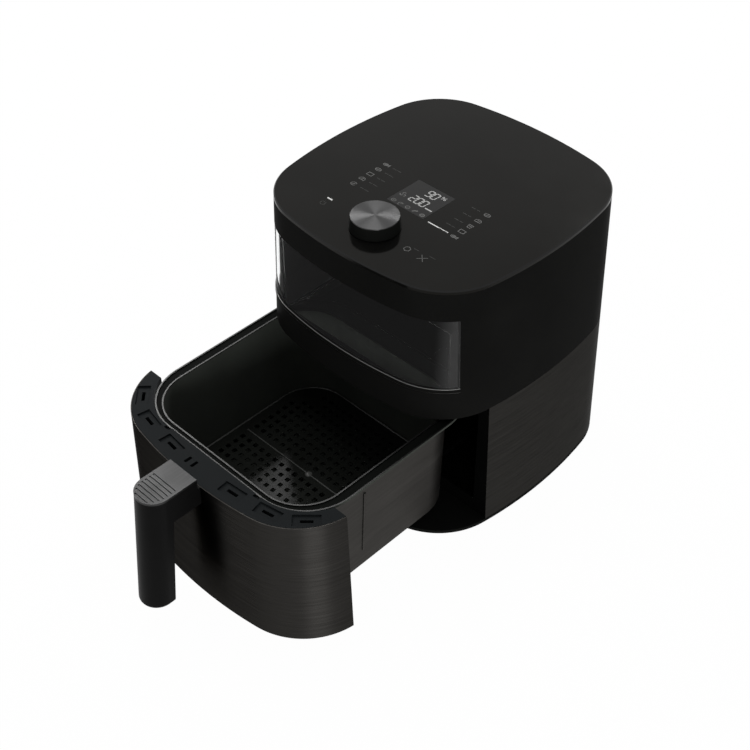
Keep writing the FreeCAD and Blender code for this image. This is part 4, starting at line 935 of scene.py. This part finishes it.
def tray_icon(work, x, y):
    ribbon(work, [(x - 3.2, y - 2.3), (x + 3.2, y - 2.3), (x + 3.2, y + 2.3), (x - 3.2, y + 2.3)], 0.7, True)


def fish_icon(work, x, y):
    ribbon(work, arc(x - 0.8, y, 2.8, 1.7), 0.8, True)
    ribbon(work, [(x + 1.8, y), (x + 4.0, y + 1.6), (x + 4.0, y - 1.6)], 0.8, True)
    ribbon(work, [(x - 2.2, y), (x + 1.2, y)], 1.2)


def cup_icon(work, x, y):
    ribbon(work, [(x - 2.6, y + 2.4), (x - 1.6, y - 2.4), (x + 1.6, y - 2.4), (x + 2.6, y + 2.4)], 0.7, True)
    ribbon(work, [(x - 2.0, y + 0.4), (x + 2.0, y + 0.4)], 0.8)


def leaf_icon(work, x, y):
    ribbon(work, arc(x, y, 3.4, 2.2), 0.7, True)
    ribbon(work, [(x - 3.0, y - 0.4), (x, y), (x + 3.2, y + 0.2)], 0.6)
    ribbon(work, [(x - 0.6, y - 1.4), (x + 0.4, y + 1.4)], 0.6)


LEFT_ICONS = (
    (drop_icon, -57.2), (dome_icon, -45.2), (tray_icon, -34.5), (leaf_icon, -23.2), (fish_icon, -11.8),
)
RIGHT_ICONS = (
    (fish_icon, -54.0), (tray_icon, -43.0), (cup_icon, -32.0), (dome_icon, -20.0), (leaf_icon, -7.5),
)


def draw_icons(work):
    for draw, y in LEFT_ICONS:
        draw(work, LEFT_X, y)
    for draw, y in RIGHT_ICONS:
        draw(work, RIGHT_X, y)
    ribbon(work, arc(45.0, -97.5, 3.4, 3.4, 30.0, 390.0, 6), 0.7, True)
    for side in (-3.7, 3.7):
        ribbon(work, [(64.4 - side, -102.1), (64.4 + side, -94.7)], 0.6)


def draw_labels(work):
    """Dashes beside the touch icons, and the faint sign beside the left bar."""
    for _, y in LEFT_ICONS:
        ribbon(work, [(LEFT_X + 9.0, y), (LEFT_X + 13.5, y)], 0.9)
        ribbon(work, [(LEFT_X + 14.5, y), (LEFT_X + 20.0, y)], 0.9)
    for _, y in RIGHT_ICONS:
        ribbon(work, [(RIGHT_X - 19.5, y), (RIGHT_X - 14.0, y)], 0.9)
        ribbon(work, [(RIGHT_X - 13.0, y), (RIGHT_X - 9.0, y)], 0.9)
    ribbon(work, [(48.5, -92.5), (55.0, -92.5)], 0.8)
    ribbon(work, [(67.0, -91.5), (74.0, -91.5)], 0.8)
    ribbon(work, arc(-62.8, -100.2, 2.8, 2.8, -240.0, 60.0, 14), 0.7)
    ribbon(work, [(-62.8, -99.6), (-62.8, -96.6)], 0.7)


def draw_bars(work):
    ribbon(work, [(30.0, -53.5), (55.0, -53.5)], 1.3)
    ribbon(work, [(-65.8, -91.2), (-59.3, -91.2)], 1.7)


def top_prints():
    """The display is drawn from the front left corner of its opening, the rest from the top's middle."""
    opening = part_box("display_lens")[0] - Vector((LENS_GAP, LENS_GAP, 0.0))
    raised_print("display_figures", "digits", draw_digits, opening)
    raised_print("display_icons", "print", draw_display_icons, opening)
    middle = middle_of("top_panel")
    raised_print("touch_icons", "print", draw_icons, middle)
    raised_print("touch_labels", "faint_print", draw_labels, middle)
    raised_print("touch_bars", "bright_print", draw_bars, middle)


photo_camera()
studio_world()
studio_floor()
studio_lights()
dress_cad()
dress_shells()
crisping_plate()
top_prints()

bpy.context.scene.view_settings.view_transform = "Standard"
